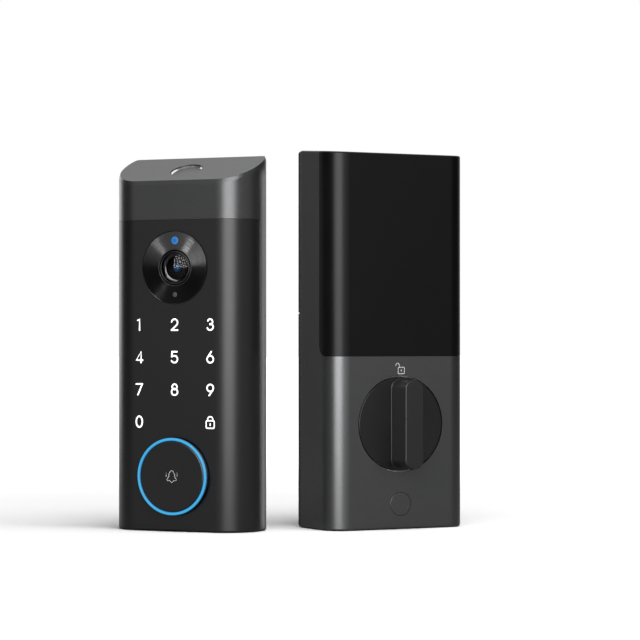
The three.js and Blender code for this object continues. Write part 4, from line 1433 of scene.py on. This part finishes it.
bead_half_width = 2.2
bead_depth = 0.45
door_plate = sheet("door_plate", (plate_low.x, -plate_thickness, 0), (plate_high.x, 0, plate_high.z), 1.5)
beads = [
    sheet("bead", (x - bead_half_width, -bead_depth, low), (x + bead_half_width, 1, high), 2.1)
    for x, low, high in ((-13, 76, 168), (13, 76, 168), (-31, 30, 98), (31, 30, 98))
]
carve(
    door_plate,
    *beads,
    bore("hub_hole", 8.4, through_sheet, 0, turn_z, 64),
    *[bore("bolt_hole", 2.8, through_sheet, x, turn_z) for x in posts.values()],
    bore("cable_hole", cable_radius, through_sheet, 0, inner_cable_z),
    *[bore("screw_hole", 1.3, through_sheet, x, z, 24) for x, z in bay_screws],
    block("edge_notch", (-past, -5, 102), (0.5 - plate_high.x, 1, 102.6)),
)
tab_front = -9.5
foot_tab = block("foot_tab", (-5, tab_front, 3.4), (5, -1, 5.4))
round_edges(foot_tab, lambda edge: upright_at(edge, tab_front), 1.8, 5)
carve(door_plate, foot_tab, operation="UNION")
carve(door_plate, bar("tab_hole", 1.3, (0, -6, 1.4), (0, -6, 7.4), 24))
soften(door_plate, 0.14)


@finish
def black_coat(start):
    """Black powder coat: a fine orange peel, rubbed a little paler in random patches."""
    wear = start.noise(55.0, 6.0)
    colour = wear.ramp(0.45, 0.75).between((0.006, 0.006, 0.0065), (0.013, 0.013, 0.0135))
    peel = start.relief(0.35, 0.00004, start.noise(900.0, 2.0))
    return start.surface(colour, 0.42 + wear * 0.2, {"Normal": peel})


settle(door_plate, inner, black_coat, "interior_half", "mounting_plate")

# ---------- drive hub
# The steel hub behind the dial, with the flat socket that the tailpiece slides into. It is turned
# from bar, and its socket is broached and chamfered.

hub = turned("drive_hub_turned", [
    (0, -27.7), (7, -27.7), (7, -5.1), (6.4, -4.5), (5.6, -4.5), (0, -4.5),
], 0.1)
carve(hub, block("socket", (-4.1, -18.5, -2.5), (4.1, 1, 2.5)))
soften(hub, 0.3, 60)
settle(hub, moved(inner, 0, 0, turn_z), plated_steel, "thumb_turn", "drive_hub")

# ---------- battery pack
# A rechargeable pack in the bay under the cover: a dark moulded case in two shells, with a ribbed
# hollow at its upper end that a finger pulls it out by, over a block of sprung contacts.

pack_low, pack_high = span("battery_pack", inner)
pack_front = pack_low.y
pack = block("pack_case", pack_low, pack_high)
round_edges(pack, lambda edge: runs_along(edge, "z"), 3, 8)
seam_y = (pack_front + pack_high.y) / 2
parting = sheet("parting", (-past, seam_y - 0.25, 80), (past, seam_y + 0.25, 180), 1)
parting_core = sheet("core", pack_low + Vector((0.35, -1, 0.35)), pack_high - Vector((0.35, 0, 0.35)), 1)
carve(parting, parting_core)
hollow = sheet("hollow", (-13, pack_front - 1, 152), (13, pack_front + 2.6, 165), 2.5)
for rib_z in (154.5, 157, 159.5, 162):
    carve(hollow, sheet("rib", (-10.5, pack_front + 1.6, rib_z), (10.5, pack_front + 3, rib_z + 0.9), 0.4))
panel = sheet("panel", (-24, pack_front - 1, 96), (24, pack_front + 0.35, 146), 2)
carve(pack, parting, hollow, panel)
soften(pack, 0.35, 50)


@finish
def battery_moulding(start):
    """Dark blue-black moulding with a fine spark-eroded grain."""
    cloud = start.noise(40.0, 3.0)
    colour = cloud.between((0.01, 0.012, 0.016), (0.016, 0.019, 0.025))
    grain = start.relief(0.3, 0.00003, start.noise(2200.0, 2.0))
    return start.surface(colour, 0.4 + cloud * 0.12, {"Normal": grain})


settle(pack, inner, battery_moulding, "interior_half", "battery_pack")

contact_low, contact_high = span("battery_contacts", inner)
contact_top = contact_high.z
contact_block = block("contact_leaves", contact_low, (contact_high.x, contact_high.y, contact_low.z + 2.4))
for x in (-4.5, -1.5, 1.5, 4.5):
    leaf = block("leaf", (x - 0.8, -14.2, 81), (x + 0.8, -13.7, contact_top - 0.6))
    tip = block("tip", (x - 0.8, -14.2, contact_top - 1), (x + 0.8, -12.4, contact_top - 0.5))
    carve(contact_block, leaf, tip, operation="UNION")
soften(contact_block, 0.08)
settle(contact_block, inner, machined_brass, "interior_half", "battery_contacts")

# ---------- boards, switches and speaker
# What lies behind the fascia and behind the thumb turn: green circuit boards, a switch under each
# button and the speaker over the slots in the foot. Their shapes are the frame's own.


def coat(material, *nodes):
    """Gives nodes that keep the frame's own shape their finish."""
    for node in nodes:
        for material_slot in frame["nodes"][node].material_slots:
            material_slot.material = material


@finish
def green_board(start):
    """Green solder mask over copper: fine tracks show through as paler lines, in two directions."""
    at = start.place()
    region = start.node("TexVoronoi", {}, {"Vector": at, "Scale": 160.0}, "Color")
    across = start.node("TexWave", {"bands_direction": "X"}, {"Vector": at, "Scale": 420.0}, "Fac")
    upward = start.node("TexWave", {"bands_direction": "Z"}, {"Vector": at, "Scale": 420.0}, "Fac")
    which = start.node("SeparateColor", {}, {"Color": region}, "Red").ramp(0.49, 0.51)
    track = (which * across + (1 - which) * upward).ramp(0.72, 0.8)
    return start.surface(track.between((0.006, 0.07, 0.022), (0.02, 0.16, 0.05)), 0.28 + track * 0.08)


@finish
def dull_plastic(start):
    """Black glass-filled plastic, dull and slightly mottled."""
    mottle = start.noise(350.0, 5.0)
    colour = mottle.between((0.006, 0.006, 0.0065), (0.014, 0.014, 0.015))
    return start.surface(colour, 0.45 + mottle * 0.15, {"Normal": start.relief(0.2, 0.00004, mottle)})


coat(green_board, "camera_board", "keypad_touch_board", "main_board", "doorbell_board", "interior_board")
coat(dull_plastic, "doorbell_switch", "setup_switch", "speaker")

# ---------- bearings, gears and motor
# The works behind the thumb turn, and the bevel gears of the key works: moulded nylon wheels and
# bushes, steel pins and chassis, and a can motor with a brass pinion.


@finish
def moulded_nylon(start):
    """Natural nylon, faintly waxy and cloudy."""
    cloud = start.noise(180.0, 4.0)
    return start.surface(cloud.between((0.56, 0.54, 0.47), (0.68, 0.66, 0.6)), 0.4 + cloud * 0.15)


coat(moulded_nylon, "dial_bush", "tailpiece_bush", "output_gear", "idler_gear")
coat(plated_steel, "doorbell_clip", "plug_gear", "tailpiece_gear", "hub_washer", "idler_pin")
coat(plated_steel, "drive_motor", "gear_chassis")
coat(machined_brass, "motor_pinion")

# ---------- light for each piece
# Each half has soft boxes of its own, so that the long highlight lies in the middle of its corner.
# The floor, the camera's cover glass and its bezel have lamps of their own too.


def shine_only_on(lamp, pieces):
    """Lets a lamp light these pieces and nothing else."""
    lit = bpy.data.collections.new(lamp.name + "_lit")
    for piece in pieces:
        lit.objects.link(piece)
    lamp.light_linking.receiver_collection = lit


outer_bodies = ("exterior_half", "doorbell", "plug", "tail")
meshes = [piece for piece in bpy.context.scene.objects if piece.type == "MESH" and piece != floor]
on_outer = [piece for piece in meshes if piece.get("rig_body") in outer_bodies]
on_inner = [piece for piece in meshes if piece.get("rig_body") not in outer_bodies]
for lamp in outer_boxes:
    shine_only_on(lamp, [piece for piece in on_outer if piece not in (bezel, cover_glass)])
for lamp in inner_boxes:
    shine_only_on(lamp, on_inner)
shine_only_on(overhead_box, meshes)
shine_only_on(floor_box, [floor])

# A strip behind the outer half's far edge gives the rear of its side a sheen of its own.
side_strip = outer @ Vector((side_x, -3, 85))
strip_box = soft_box("strip_box", 128, 0.015, 0.085, 0.006, 0.17, 1.5, side_strip)
shine_only_on(strip_box, [exterior_shell, fascia_skin])

# The glass mirrors one box, and the dish spreads each of four small cards into a ray of light.
lens_middle = camera_place.translation
lens_box = soft_box("lens_box", -30, 1.1, lens_middle.z + 0.48, 1.15, 1.0, 17, lens_middle)
shine_only_on(lens_box, [cover_glass])
cards = [
    soft_box("right_card", -77.5, 0.2, 0.046, 0.034, 0.04, 18, lens_middle),
    soft_box("side_card", -83, 0.3, 0.085, 0.06, 0.07, 2.4, lens_middle),
    soft_box("left_card", -39, 0.3, 0.035, 0.02, 0.04, 3.5, lens_middle),
    soft_box("low_card", -40, 0.3, 0.26, 0.04, 0.05, 0.6, lens_middle),
]
for card in cards:
    shine_only_on(card, [bezel])
